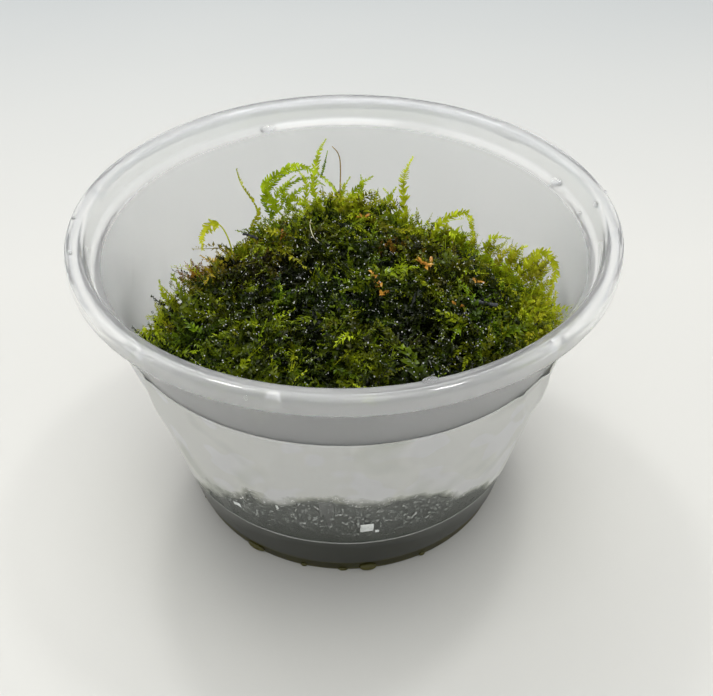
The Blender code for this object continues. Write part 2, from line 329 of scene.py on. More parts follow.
def make_height_mask():
    tree, entry, leave, place = new_group(
        "height_mask",
        (("Height", 0.01), ("Softness", 0.001), ("Wander", 0.001), ("Scale", 200.0), ("Lean", 0.0)), "Mask")
    split = split_node(tree, place)
    cloud = noise_node(tree, place, entry["Scale"])
    shift = math_node(tree, 'MULTIPLY', math_node(tree, 'SUBTRACT', cloud, 0.5), entry["Wander"])
    rise = math_node(tree, 'ADD', split["Z"], shift)
    rise = math_node(tree, 'ADD', rise, math_node(tree, 'MULTIPLY', split["Y"], entry["Lean"]))
    above = math_node(tree, 'SUBTRACT', rise, entry["Height"])
    share = math_node(tree, 'DIVIDE', above, entry["Softness"])
    mask = math_node(tree, 'ADD', share, 0.5, clamp=True)
    tree.links.new(mask, leave)
    return tree


def make_grain():
    tree, entry, leave, place = new_group(
        "grain", (("Scale", 800.0), ("Strength", 0.3), ("Depth", 0.0001)), "Normal", 'NodeSocketVector')
    bump = tree.nodes.new('ShaderNodeBump')
    tree.links.new(noise_node(tree, place, entry["Scale"]), bump.inputs["Height"])
    tree.links.new(entry["Strength"], bump.inputs["Strength"])
    tree.links.new(entry["Depth"], bump.inputs["Distance"])
    tree.links.new(bump.outputs["Normal"], leave)
    return tree


mottle_group = make_mottle()
height_mask_group = make_height_mask()
grain_group = make_grain()


def use_group(tree, group, **values):
    """Place a group in a material with its own values, and give its one output."""
    node = tree.nodes.new('ShaderNodeGroup')
    node.node_tree = group
    for label, value in values.items():
        node.inputs[label].default_value = value
    return node.outputs[0]


def mottle(tree, scale, low, high):
    """A soft uneven value between two others."""
    return use_group(tree, mottle_group, Scale=scale, Low=low, High=high)


def add_grain(tree, shader, scale, strength, depth):
    """Roughen a shader's surface with the grain group, its depth in millimetres."""
    normal = use_group(tree, grain_group, Scale=scale, Strength=strength, Depth=depth * MM)
    tree.links.new(normal, shader.inputs["Normal"])


def new_material(name, settings):
    """A Principled material with its plain values set on the shader's own sockets."""
    material = bpy.data.materials.new(name)
    material.use_nodes = True
    shader = material.node_tree.nodes["Principled BSDF"]
    for label, value in settings.items():
        shader.inputs[label].default_value = value
    return material, material.node_tree, shader


def mix_colors(tree, share, first, second):
    node = tree.nodes.new('ShaderNodeMix')
    node.data_type = 'RGBA'
    link_value(tree, share, node.inputs["Factor"])
    link_value(tree, first, node.inputs["A"])
    link_value(tree, second, node.inputs["B"])
    return node.outputs["Result"]


print("Shader groups:", [group.name for group in bpy.data.node_groups])

# %% [markdown]
# ## The floor's finish
#
# The table is a plain pale sheet, warm near the camera and, as painted shade, a little cooler and
# darker behind the cup, with a faint grain so that it doesn't look like empty paper.

# %% Floor material
FLOOR_BACK_PAINTED_SHADE = (0.43, 0.455, 0.46, 1.0)
FLOOR_FRONT = (0.665, 0.655, 0.615, 1.0)
FLOOR_TURN_NEAR = 50.0
FLOOR_TURN_FAR = 260.0


def make_floor_material():
    material, tree, shader = new_material("pale_table", {"Roughness": 0.55})
    place = tree.nodes.new('ShaderNodeTexCoord').outputs["Object"]
    split = split_node(tree, place)
    # The share runs from the warm front to the painted shade at the back.
    share = range_node(tree, split["Y"], FLOOR_TURN_NEAR * MM, FLOOR_TURN_FAR * MM, 0.0, 1.0)
    uneven = mottle(tree, 6.0, -0.06, 0.06)
    share = math_node(tree, 'ADD', share, uneven, clamp=True)
    tree.links.new(mix_colors(tree, share, FLOOR_FRONT, FLOOR_BACK_PAINTED_SHADE), shader.inputs["Base Color"])
    add_grain(tree, shader, 900.0, 0.1, 0.05)
    return material


floor.data.materials.append(make_floor_material())

# %% [markdown]
# ## The cup
#
# The cup is formed plastic under a millimetre thick: a rolled rim, a step and a ledge under it, a
# conical wall, and a narrower foot with a recess below. It is round all over, so its section is
# drawn once, from the middle of the floor up the inside and down the outside, and spun round. Each
# corner of the section has its own small rounding, which is what catches the light on the rim.

# %% The cup's section
RIM_RADIUS = 37.0
CUP_HEIGHT = 45.3
WALL_TOP_Z = 41.3
WALL_TOP_RADIUS = 33.75
WALL_FOOT_Z = 2.3
WALL_FOOT_RADIUS = 24.75
WALL_THICKNESS = 0.85
FLOOR_TOP_Z = 1.7
CUP_SIDES = 160
ARC_PARTS = 4


def wall_outer_radius(height):
    rise = (height - WALL_FOOT_Z) / (WALL_TOP_Z - WALL_FOOT_Z)
    return WALL_FOOT_RADIUS + (WALL_TOP_RADIUS - WALL_FOOT_RADIUS) * rise


def wall_inner_radius(height):
    return wall_outer_radius(height) - WALL_THICKNESS


# Each corner is (radius from the axis, height, rounding)
CUP_CORNERS = (
    (0.0, FLOOR_TOP_Z, 0.0),
    (wall_inner_radius(FLOOR_TOP_Z), FLOOR_TOP_Z, 1.3),
    (32.9, 41.7, 0.25),
    (34.1, 42.4, 0.35),
    (34.45, 44.6, 0.0),
    (34.8, CUP_HEIGHT, 0.35),
    (RIM_RADIUS, CUP_HEIGHT, 0.75),
    (RIM_RADIUS, 42.8, 0.25),
    (36.4, 42.8, 0.25),
    (36.35, 44.5, 0.45),
    (35.25, 44.5, 0.4),
    (34.85, 42.1, 0.5),
    (WALL_TOP_RADIUS, WALL_TOP_Z, 0.5),
    (WALL_FOOT_RADIUS, WALL_FOOT_Z, 0.12),
    (24.2, 2.1, 0.12),
    (24.1, 0.0, 0.4),
    (21.8, 0.0, 0.2),
    (21.2, 0.7, 0.3),
    (0.0, 0.7, 0.0),
)


def rounded_section(corners):
    """The section's points, with a short curve in place of each corner that has a rounding."""
    points = []
    for index, (radius, height, rounding) in enumerate(corners):
        corner = Vector((radius, height))
        if rounding == 0.0:
            points.append(corner)
            continue
        before = Vector(corners[index - 1][:2]) - corner
        after = Vector(corners[index + 1][:2]) - corner
        start = corner + before.normalized() * min(rounding, 0.45 * before.length)
        end = corner + after.normalized() * min(rounding, 0.45 * after.length)
        for step in range(ARC_PARTS + 1):
            share = step / ARC_PARTS
            points.append(start.lerp(corner, share).lerp(corner.lerp(end, share), share))
    return points


def spin_section(points, sides, angle=math.tau):
    """Draw the section from one vertex in the XZ plane and spin it round the Z axis."""
    bpy.ops.mesh.primitive_plane_add(size=MM)
    item = bpy.context.active_object
    edit(item, select='SELECT')
    bpy.ops.mesh.merge(type='CENTER')
    bpy.ops.transform.translate(value=(points[0].x * MM, 0.0, points[0].y * MM))
    for first, second in zip(points, points[1:]):
        step = (second - first) * MM
        bpy.ops.mesh.extrude_region_move(TRANSFORM_OT_translate={"value": (step.x, 0.0, step.y)})
    bpy.ops.mesh.select_all(action='SELECT')
    bpy.ops.mesh.spin(steps=sides, angle=angle, center=(0.0, 0.0, 0.0), axis=(0.0, 0.0, 1.0))
    leave_edit()
    return item


cup = spin_section(rounded_section(CUP_CORNERS), CUP_SIDES)
face_outwards(cup)
make_smooth(cup)
print("Cup volume", round(signed_volume(cup.data) / MM ** 3), "cubic millimetres")

# %% [markdown]
# ## Frosted plastic
#
# Thin polypropylene is milky: most light goes through it and is softened, and some is scattered
# inside it, so that a wall lit from behind glows. Transmission with some roughness gives the blur,
# and subsurface scattering gives the glow. The rolled rim is smoother, glossier and clearer. Low
# down at the front, water is held between the moss and the plastic, so the colour darkens there,
# down to the olive foot. The back of the wall stays pale.

# %% Cup materials
PLASTIC_COLOR = (0.98, 0.985, 0.98, 1.0)
PLASTIC_SHADED = (0.94, 0.95, 0.945, 1.0)
WET_WALL_COLOR = (0.055, 0.06, 0.038, 1.0)
WET_WALL_Z = 17.0
WET_WALL_LEAN = 0.4
WET_WALL_FRONT_Y = -28.0
FOOT_WET_COLOR = (0.080, 0.072, 0.003, 1.0)
RIM_START_Z = 41.5


def make_plastic_material(name, transmission, rough_low, rough_high, gloss):
    material, tree, shader = new_material(name, {
        "IOR": 1.45,
        "Transmission Weight": transmission,
        "Metallic": 0.0,
        "Specular IOR Level": gloss,
        "Coat Weight": 0.4 * gloss,
        "Coat Roughness": 0.04,
        "Subsurface Weight": 1.0,
        "Subsurface Radius": (1.0, 1.0, 1.0),
        "Subsurface Scale": 2.0 * MM,
    })
    tone = mottle(tree, 60.0, 0.0, 1.0)
    plastic = mix_colors(tree, tone, PLASTIC_COLOR, PLASTIC_SHADED)
    above_wet = use_group(
        tree, height_mask_group, Height=(WET_WALL_Z + WET_WALL_LEAN * WET_WALL_FRONT_Y) * MM,
        Softness=18.0 * MM, Wander=3.0 * MM, Scale=90.0, Lean=WET_WALL_LEAN)
    wall = mix_colors(tree, above_wet, WET_WALL_COLOR, plastic)
    above_foot = use_group(
        tree, height_mask_group, Height=2.6 * MM, Softness=0.9 * MM, Wander=1.2 * MM, Scale=160.0)
    tree.links.new(mix_colors(tree, above_foot, FOOT_WET_COLOR, wall), shader.inputs["Base Color"])
    tree.links.new(mottle(tree, 140.0, rough_low, rough_high), shader.inputs["Roughness"])
    add_grain(tree, shader, 420.0, 0.05, 0.05)
    return material


wall_plastic = make_plastic_material("frosted_wall", 0.74, 0.32, 0.42, 0.25)
rim_plastic = make_plastic_material("clear_rim", 0.86, 0.03, 0.06, 0.5)
finish_piece(cup, "cup_shell", wall_plastic)
cup.data.materials.append(rim_plastic)
for face in cup.data.polygons:
    face.material_index = 1 if face.center.z > RIM_START_Z * MM else 0
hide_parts("cup")

# %% [markdown]
# ## The label
#
# The label is a thin white film wrapped 200 degrees round the front, bare here. Its upper part is
# dry and pale. Its lower part is soaked, so it turns clear and the dark moss shows through, with
# small trapped bubbles and bits as white specks. The film is a spun strip with the faintest waves,
# given its thickness by Solidify. Alpha, lower where it is soaked and at both wet ends, lets the
# wall show through. The soaked part reaches highest in the middle of the front.

# %% Model the label
LABEL_TOP_Z = 33.5
LABEL_BOTTOM_Z = 8.6
LABEL_ANGLE = 200.0
LABEL_GAP = 0.08
LABEL_THICKNESS = 0.10
LABEL_ROWS = 40
LABEL_SIDES = 200
LABEL_WAVE = 0.08
WRINKLE_FROM_Z = 14.0
WRINKLE_FULL_Z = 24.0
# Each wrinkle is (angle to the right in degrees, slant in degrees a mm, width in degrees, height in mm)
LABEL_WRINKLES = (
    (-70.0, 0.7, 1.8, 0.40),
    (-60.0, 0.9, 1.2, 0.26),
    (52.0, -0.9, 1.3, 0.26),
    (64.0, -1.1, 1.8, 0.42),
    (77.0, -0.5, 1.6, 0.14),
)


def wrinkle_height(angle, z):
    height = 0.0
    for middle, slant, width, most in LABEL_WRINKLES:
        offset = (angle - middle - slant * (z - WRINKLE_FULL_Z)) / width
        height += most * math.exp(-offset * offset) * smooth_step(z, WRINKLE_FROM_Z, WRINKLE_FULL_Z)
    return height


def smooth_step(value, low, high):
    share = min(max((value - low) / (high - low), 0.0), 1.0)
    return share * share * (3.0 - 2.0 * share)


def make_label():
    heights = np.linspace(LABEL_TOP_Z, LABEL_BOTTOM_Z, LABEL_ROWS + 1)
    points = [Vector((wall_outer_radius(height) + LABEL_GAP, height)) for height in heights]
    label = spin_section(points, LABEL_SIDES, math.radians(LABEL_ANGLE))
    label.rotation_euler.z = math.radians(LABEL_ANGLE / 2.0 - 90.0)
    work_on(label)
    bpy.ops.object.transform_apply(rotation=True)
    for vertex in label.data.vertices:
        place = Vector(vertex.co) / MM
        outwards = Vector((place.x, place.y, 0.0)).normalized()
        angle = math.degrees(math.atan2(place.x, -place.y))
        wave = 0.5 + 0.5 * noise.noise(Vector((angle / 9.0, place.z / 16.0, 3.0)))
        vertex.co += outwards * (LABEL_WAVE * wave + wrinkle_height(angle, place.z)) * MM
    thickness = label.modifiers.new("Film", 'SOLIDIFY')
    thickness.thickness = LABEL_THICKNESS * MM
    thickness.offset = 1.0
    apply_modifiers(label)
    face_outwards(label)
    make_smooth(label)
    return label


label = make_label()

# %% Label material
SOAKED_Z = 20.6
SOAKED_LEAN = 0.85
SOAKED_FRONT_Y = -29.0
FILM_CREAM = (0.88, 0.89, 0.77, 1.0)
FILM_WHITE = (0.95, 0.96, 0.88, 1.0)
FILM_GREY = (0.62, 0.64, 0.56, 1.0)
FILM_CLEAR_FROM_Y = -6.0
FILM_CLEAR_TO_Y = 0.0
FILM_SOAKED = (0.12, 0.13, 0.11, 1.0)
SPECK_WHITE = (0.70, 0.72, 0.68, 1.0)


def make_label_material():
    material, tree, shader = new_material("label_film", {
        "Metallic": 0.0,
        "IOR": 1.45,
        "Specular IOR Level": 0.2,
        "Subsurface Weight": 1.0,
        "Subsurface Radius": (1.0, 1.0, 1.0),
        "Subsurface Scale": 0.6 * MM,
    })
    place = tree.nodes.new('ShaderNodeTexCoord').outputs["Object"]
    blotch = range_node(tree, noise_node(tree, place, 170.0, 1.0), 0.53, 0.59, 0.0, 1.0, smooth=True)
    shade = range_node(tree, noise_node(tree, place, 95.0, 1.5), 0.52, 0.68, 0.0, 1.0, smooth=True)
    dry = mix_colors(tree, blotch, FILM_CREAM, FILM_WHITE)
    dry = mix_colors(tree, shade, dry, FILM_GREY)
    off_middle = math_node(tree, 'SUBTRACT', noise_node(tree, place, 1200.0, 1.0), 0.5)
    curls = range_node(tree, math_node(tree, 'ABSOLUTE', off_middle), 0.012, 0.040, 1.0, 0.0, smooth=True)
    curl_places = range_node(tree, noise_node(tree, place, 1700.0, 1.0), 0.52, 0.58, 0.0, 1.0, smooth=True)
    curls = math_node(tree, 'MULTIPLY', curls, curl_places)
    near_border = use_group(
        tree, height_mask_group, Height=11.5 * MM, Softness=4.0 * MM, Wander=5.0 * MM, Scale=220.0)
    curls = math_node(tree, 'MULTIPLY', curls, near_border)
    soaked = mix_colors(tree, curls, FILM_SOAKED, SPECK_WHITE)
    is_dry = use_group(
        tree, height_mask_group, Height=(SOAKED_Z + SOAKED_LEAN * SOAKED_FRONT_Y) * MM, Softness=2.2 * MM,
        Wander=8.0 * MM, Scale=170.0, Lean=SOAKED_LEAN)
    above_edge = use_group(
        tree, height_mask_group, Height=8.8 * MM, Softness=0.12 * MM, Wander=0.25 * MM, Scale=60.0)
    soaked = mix_colors(tree, above_edge, SPECK_WHITE, soaked)
    tree.links.new(mix_colors(tree, is_dry, soaked, dry), shader.inputs["Base Color"])
    solid_parts = math_node(tree, 'MAXIMUM', curls, is_dry)
    solid_parts = math_node(tree, 'MAXIMUM', solid_parts, math_node(tree, 'SUBTRACT', 1.0, above_edge))
    split = split_node(tree, place)
    on_front = range_node(
        tree, split["Y"], FILM_CLEAR_FROM_Y * MM, FILM_CLEAR_TO_Y * MM, 1.0, 0.0, smooth=True)
    solid_parts = math_node(tree, 'MULTIPLY', solid_parts, on_front)
    tree.links.new(range_node(tree, solid_parts, 0.0, 1.0, 0.20, 0.94), shader.inputs["Alpha"])
    tree.links.new(mottle(tree, 200.0, 0.35, 0.55), shader.inputs["Roughness"])
    add_grain(tree, shader, 120.0, 0.10, 0.1)
    return material


finish_piece(label, "label_film", make_label_material())
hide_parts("label")

# %% [markdown]
# ## The moss's form
#
# The moss is heaped towards the front: a low dome whose back falls away as a bank, with the cup's
# bare wall behind it. One formula gives its height at any place, the same as the solid's, so the
# leafy mat can be planted on it and small things can be laid on it by their pixel.

# %% Height of the heap
MOUND_PEAK_Z = 47.6
MOUND_PEAK_Y = -6.0
MOUND_SIDE_FALL = 0.0070
MOUND_RIGHT_FALL = 0.06
MOUND_BACK_FALL = 0.0045
MOUND_FRONT_FALL = 0.0090
BANK_CREST_Y = 4.2
BANK_LEFT_SLANT = 0.42
BANK_LEFT_CURVE = 0.022
BANK_RIGHT_SLANT = 0.45
BANK_RIGHT_CURVE = 0.005
BANK_SLOPE = 1.15
RIGHT_EDGE = 26.0
BANK_FRONT_Y = -18.0
RIGHT_EDGE_SLOPE = 2.0
LUMP_HEIGHT = 1.4
LUMP_SIZE = 5.5
MOSS_GAP = 0.25


def crest_y(x):
    """How far back the heap reaches at x before it falls away."""
    slant = BANK_LEFT_SLANT if x < 0.0 else BANK_RIGHT_SLANT
    curve = BANK_LEFT_CURVE if x < 0.0 else BANK_RIGHT_CURVE
    return BANK_CREST_Y - slant * abs(x) - curve * x * x


def heap_height(x, y):
    fall_y = MOUND_FRONT_FALL if y < MOUND_PEAK_Y else MOUND_BACK_FALL
    dome = MOUND_PEAK_Z - MOUND_SIDE_FALL * x * x - fall_y * (y - MOUND_PEAK_Y) ** 2
    dome -= MOUND_RIGHT_FALL * max(x, 0.0)
    bank_drop = BANK_SLOPE * max(y - crest_y(x), 0.0)
    if y > BANK_FRONT_Y:
        bank_drop += RIGHT_EDGE_SLOPE * max(x - RIGHT_EDGE, 0.0)
    return dome - bank_drop + LUMP_HEIGHT * noise.noise(Vector((x, y, 0.0)) / LUMP_SIZE)


def heap_normal(x, y):
    step = 0.6
    slope_x = (heap_height(x + step, y) - heap_height(x - step, y)) / (2.0 * step)
    slope_y = (heap_height(x, y + step) - heap_height(x, y - step)) / (2.0 * step)
    return Vector((-slope_x, -slope_y, 1.0)).normalized()


def point_on_heap(across, down, lift=0.0):
    """Where a pixel's ray meets the heap, or passes nearest to it."""
    return walk_to(across, down, lambda place: place.z - heap_height(place.x, place.y) - lift)


print("Heap's top in the middle of the picture:", round(point_on_heap(356, 260).z, 1), "mm")

# %% [markdown]
# ## The imported inside of the clump
#
# Under the leaves the moss is a dark wet tangle that fills the cup down to its floor. Its colour is
# near black, the own dark of old wet moss together with painted shade of the deep tangle. It shows
# between the shoots, through the frosted wall and from below. A grid is raised to the formula's
# height, lower at both sides, drawn down to a block, cut to the cup's inside with a cone, remeshed
# evenly and then roughened with a noise.

# %% Moss core
CORE_SINK = 3.0
CORE_SIDE_SINK = 6.0
CORE_SIDE_FROM = 20.0
CORE_SIDE_TO = 31.0
CORE_CUTS = 70
CORE_VOXEL = 0.9
CORE_ROUGHNESS = 1.5


def make_core():
    reach = wall_inner_radius(WALL_TOP_Z)
    bpy.ops.mesh.primitive_grid_add(
        x_subdivisions=CORE_CUTS, y_subdivisions=CORE_CUTS, size=2.0 * reach * MM)
    core = bpy.context.active_object
    for vertex in core.data.vertices:
        x = vertex.co.x / MM
        y = vertex.co.y / MM
        side_sink = CORE_SIDE_SINK * smooth_step(abs(x), CORE_SIDE_FROM, CORE_SIDE_TO)
        vertex.co.z = (heap_height(x, y) - CORE_SINK - side_sink) * MM
    edit(core, 'FACE', 'SELECT')
    bpy.ops.mesh.extrude_region_move(TRANSFORM_OT_translate={"value": (0.0, 0.0, -MM)})
    bpy.ops.transform.resize(value=(1.0, 1.0, 0.0), center_override=(0.0, 0.0, -5.0 * MM))
    leave_edit()
    face_outwards(core)
    return core


def make_core_room():
    """A cone that fits the cup's inside with a small gap."""
    low_z = FLOOR_TOP_Z + MOSS_GAP
    high_z = 60.0
    bpy.ops.mesh.primitive_cone_add(
        vertices=96, depth=(high_z - low_z) * MM, location=(0.0, 0.0, (low_z + high_z) / 2.0 * MM),
        radius1=(wall_inner_radius(low_z) - MOSS_GAP) * MM,
        radius2=(wall_inner_radius(high_z) - MOSS_GAP) * MM)
    return bpy.context.active_object


core = make_core()
room = make_core_room()
cut = core.modifiers.new("Cup's inside", 'BOOLEAN')
cut.operation = 'INTERSECT'
cut.object = room
apply_modifiers(core)
bpy.data.objects.remove(room)
remesh = core.modifiers.new("Even faces", 'REMESH')
remesh.mode = 'VOXEL'
remesh.voxel_size = CORE_VOXEL * MM
apply_modifiers(core)
for vertex in core.data.vertices:
    place = Vector(vertex.co) / MM
    push = CORE_ROUGHNESS * noise.noise(place / 1.7) + 0.5 * noise.noise(place / 0.7)
    moved = place + Vector(vertex.normal) * (push - 0.6)
    across = math.hypot(moved.x, moved.y)
    limit = wall_inner_radius(min(moved.z, WALL_TOP_Z)) - MOSS_GAP
    if across > limit:
        moved.x *= limit / across
        moved.y *= limit / across
    moved.z = max(moved.z, FLOOR_TOP_Z + MOSS_GAP)
    vertex.co = moved * MM

# %% [markdown]
# ## Moss colours
#
# Java moss is dark olive where it is old and packed, and a bright yellow-green where a young tip is
# thin and the light comes through it. Each shoot carries its own numbers: tone, from old to young,
# with painted backlight and painted shade added where the shoot grows, hue, from brown through olive
# to a deeper green, wet, and along, from its root to its tip. The material turns them to colour,
# darker at the root. Wet leaves have a thin glossy coat. The light that passes through a thin leaf
# is painted as a faint glow of the leaf's own colour, set by the number thin.

# %% Moss materials
MOSS_STOPS = (
    (0.0, (0.005, 0.007, 0.001, 1.0)),
    (0.25, (0.032, 0.042, 0.002, 1.0)),
    (0.5, (0.140, 0.170, 0.004, 1.0)),
    (0.75, (0.370, 0.430, 0.010, 1.0)),
    (1.0, (0.700, 0.780, 0.040, 1.0)),
)
GREEN_STOPS = (
    (0.0, (0.003, 0.008, 0.001, 1.0)),
    (0.25, (0.018, 0.048, 0.003, 1.0)),
    (0.5, (0.080, 0.180, 0.006, 1.0)),
    (0.75, (0.250, 0.430, 0.012, 1.0)),
    (1.0, (0.560, 0.760, 0.040, 1.0)),
)
BROWN_STOPS = (
    (0.0, (0.012, 0.006, 0.002, 1.0)),
    (0.25, (0.065, 0.034, 0.006, 1.0)),
    (0.5, (0.220, 0.100, 0.014, 1.0)),
    (0.75, (0.450, 0.215, 0.030, 1.0)),
    (1.0, (0.720, 0.450, 0.090, 1.0)),
)
THIN_GLOW = 0.18
# The inside's two colours are near black: old wet moss's own dark with painted shade of the deep tangle.
CORE_DARK = (0.002, 0.003, 0.001, 1.0)
CORE_LIGHT = (0.012, 0.016, 0.002, 1.0)


def attribute_node(tree, name):
    node = tree.nodes.new('ShaderNodeAttribute')
    node.attribute_name = name
    return node.outputs["Fac"]


def ramp_node(tree, value, stops):
    node = tree.nodes.new('ShaderNodeValToRGB')
    tree.links.new(value, node.inputs["Fac"])
    ramp = node.color_ramp
    while len(ramp.elements) < len(stops):
        ramp.elements.new(0.5)
    for element, (position, color) in zip(ramp.elements, stops):
        element.position = position
        element.color = color
    return node.outputs["Color"]


def make_leaf_material():
    material, tree, shader = new_material("moss_leaf", {
        "Metallic": 0.0,
        "Roughness": 0.6,
        "Specular IOR Level": 0.05,
        "Coat Roughness": 0.12,
        "Emission Strength": 1.0,
    })
    uneven = mottle(tree, 900.0, -0.14, 0.14)
    root_shade = range_node(tree, attribute_node(tree, "along"), 0.0, 1.0, -0.22, 0.10)
    tone = math_node(tree, 'ADD', attribute_node(tree, "tone"), uneven)
    tone = math_node(tree, 'ADD', tone, root_shade, clamp=True)
    hue = attribute_node(tree, "hue")
    brown_share = math_node(tree, 'MULTIPLY', hue, -1.0, clamp=True)
    olive = ramp_node(tree, tone, MOSS_STOPS)
    color = mix_colors(tree, brown_share, olive, ramp_node(tree, tone, BROWN_STOPS))
    green_share = math_node(tree, 'MULTIPLY', hue, 1.0, clamp=True)
    color = mix_colors(tree, green_share, color, ramp_node(tree, tone, GREEN_STOPS))
    tree.links.new(color, shader.inputs["Base Color"])
    # Painted glow: emission in the leaf's own colour, by the number thin, stands in for light passing
    # through the leaf.
    glow = math_node(tree, 'MULTIPLY', attribute_node(tree, "thin"), THIN_GLOW)
    tree.links.new(mix_colors(tree, glow, (0.0, 0.0, 0.0, 1.0), color), shader.inputs["Emission Color"])
    film = mottle(tree, 1500.0, -3.6, 3.5)
    tree.links.new(math_node(tree, 'MULTIPLY', attribute_node(tree, "wet"), film, clamp=True),
                   shader.inputs["Coat Weight"])
    return material


def make_core_material():
    material, tree, shader = new_material("moss_inside", {"Metallic": 0.0, "Specular IOR Level": 0.15})
    tone = mottle(tree, 500.0, 0.0, 1.0)
    tree.links.new(mix_colors(tree, tone, CORE_DARK, CORE_LIGHT), shader.inputs["Base Color"])
    tree.links.new(mottle(tree, 900.0, 0.3, 0.7), shader.inputs["Roughness"])
    add_grain(tree, shader, 1600.0, 0.8, 0.3)
    return material


leaf_material = make_leaf_material()
finish_piece(core, "moss_inside", make_core_material())
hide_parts("moss_clump")

# %% [markdown]
# ## One leaf and one shoot
#
# A leaf is about a millimetre long, pointed, and folded along its middle. It starts as a small disc
# of four or eight corners, cut along its midrib, with its sides lifted to a shallow fold. A shoot is
# a thin stem with leaves in two rows. Thousands of shoots are needed, far too many for operators,
# so the leaf's and the stem's points are copied as arrays, and each shoot is bent as it is planted.

# %% Model the leaf and the stem
LEAF_LENGTH = 0.60
LEAF_WIDTH = 0.25
LEAF_FOLD = 0.16
LEAF_WIDEST = 0.38
STEM_WIDTH = 0.12
STEM_CUTS = 1
FREE_STEM_CUTS = 24


def take_mesh(item):
    """A modelled piece's points and triangles as arrays, in millimetres, and the piece removed."""
    mesh = item.data
    mesh.calc_loop_triangles()
    points = np.array([vertex.co[:] for vertex in mesh.vertices]) / MM
    faces = np.array([triangle.vertices[:] for triangle in mesh.loop_triangles])
    bpy.data.objects.remove(item)
    return points, faces


def model_leaf(corners):
    """A pointed leaf one unit long and one unit wide, with its foot at the origin, along +X."""
    bpy.ops.mesh.primitive_circle_add(
        vertices=corners, radius=0.5 * MM, fill_type='NGON', rotation=(0.0, 0.0, -math.pi / 2.0))
    leaf = bpy.context.active_object
    bpy.ops.object.transform_apply(rotation=True)
    edit(leaf, 'VERT')
    leave_edit()
    for vertex in leaf.data.vertices:
        vertex.select = abs(vertex.co.y) < 0.01 * MM
    bpy.ops.object.mode_set(mode='EDIT')
    bpy.ops.mesh.vert_connect()
    bpy.ops.mesh.select_all(action='SELECT')
    bpy.ops.transform.translate(value=(0.5 * MM, 0.0, 0.0))
    leave_edit()
    for vertex in leaf.data.vertices:
        beside = abs(vertex.co.y / MM)
        vertex.co.x += (LEAF_WIDEST - 0.5) * 2.0 * beside * MM
        vertex.co.z = 2.0 * beside * MM
    return take_mesh(leaf)


def model_stem(cuts, sides=3):
    """A round stem one unit long and one unit thick, along +X."""
    bpy.ops.mesh.primitive_cylinder_add(vertices=sides, radius=0.5 * MM, depth=MM, end_fill_type='NOTHING',
                                        location=(0.5 * MM, 0.0, 0.0), rotation=(0.0, math.pi / 2.0, 0.0))
    stem = bpy.context.active_object
    bpy.ops.object.transform_apply(location=True, rotation=True)
    edit(stem, 'EDGE')
    leave_edit()
    for edge in stem.data.edges:
        ends = [stem.data.vertices[index].co.x for index in edge.vertices]
        edge.select = abs(ends[0] - ends[1]) > 0.5 * MM
    bpy.ops.object.mode_set(mode='EDIT')
    bpy.ops.mesh.subdivide(number_cuts=cuts)
    leave_edit()
    return take_mesh(stem)


mat_leaf = model_leaf(4)
free_leaf = model_leaf(8)
mat_stem = model_stem(STEM_CUTS)
free_stem = model_stem(FREE_STEM_CUTS)
print("A leaf has", len(mat_leaf[1]), "or", len(free_leaf[1]), "triangles and a stem", len(mat_stem[1]))


# %% Put a shoot together
def leaf_on_stem(leaf_points, place, side, angle, lift, length, width):
    """One leaf's points, turned out from a stem that runs along +X."""
    points = leaf_points * np.array([length, width, LEAF_FOLD * length])
    across = np.array([math.cos(angle), side * math.sin(angle), 0.0])
    beside = np.array([-side * math.sin(angle), math.cos(angle), 0.0])
    raised = across * math.cos(lift) + np.array([0.0, 0.0, math.sin(lift)])
    upward = np.cross(raised, beside)
    upward /= np.linalg.norm(upward)
    foot = np.array([place, 0.0, 0.0])
    return foot + points[:, :1] * raised + points[:, 1:2] * beside + points[:, 2:] * upward


def model_shoot(seed, stem_model, leaf, pairs, length, leaf_length=LEAF_LENGTH, leaf_width=LEAF_WIDTH,
                rows=(1.0, 1.0), lifts=(-70.0, 80.0), stem_width=STEM_WIDTH, bare=0.0):
    """A straight shoot along +X in millimetres: points, triangles and each point's share along it.

    rows gives the leaves' size on the left and on the right of the stem, 0 for a bare side, and bare
    is the share of the stem from its root that has no leaves.
    """
    random = np.random.default_rng(seed)
    stem = stem_model[0].copy()
    taper = 1.0 - 0.6 * stem[:, :1]
    stem[:, 1:] *= stem_width * taper
    stem[:, 0] *= length
    points = [stem]
    faces = [stem_model[1]]
    along = [stem[:, 0] / length]
    count = len(stem)
    for number in range(pairs):
        share = (number + 0.6) / pairs
        size = (0.75 + 0.5 * math.sin(math.pi * min(share + 0.25, 1.0))) * (1.0 - 0.45 * share ** 3)
        for side, row in zip((1.0, -1.0), rows):
            if row == 0.0 or share < bare:
                continue
            place = length * (share + 0.35 * random.uniform(-1.0, 1.0) / pairs)
            angle = math.radians(random.uniform(34.0, 74.0) * (1.0 - 0.55 * share ** 2))
            lift = math.radians(random.uniform(*lifts))
            reach = leaf_length * size * row * random.uniform(0.75, 1.2)
            foot = min(place, length * 0.98)
            points.append(leaf_on_stem(leaf[0], foot, side, angle, lift, reach, leaf_width * size))
            faces.append(leaf[1] + count)
            along.append(np.full(len(leaf[0]), share))
            count += len(leaf[0])
    return np.vstack(points), np.vstack(faces), np.concatenate(along)


MAT_SHOOT_LENGTH = 5.0
MAT_PAIRS = 16
KIND_SIZES = (0.9, 0.9, 1.0, 1.0, 1.2, 1.3, 1.4, 1.5)
shoot_kinds = [model_shoot(seed, mat_stem, mat_leaf, MAT_PAIRS, MAT_SHOOT_LENGTH,
                           LEAF_LENGTH * size, LEAF_WIDTH * size)
               for seed, size in enumerate(KIND_SIZES)]
print("A mat shoot has", len(shoot_kinds[0][1]), "triangles")

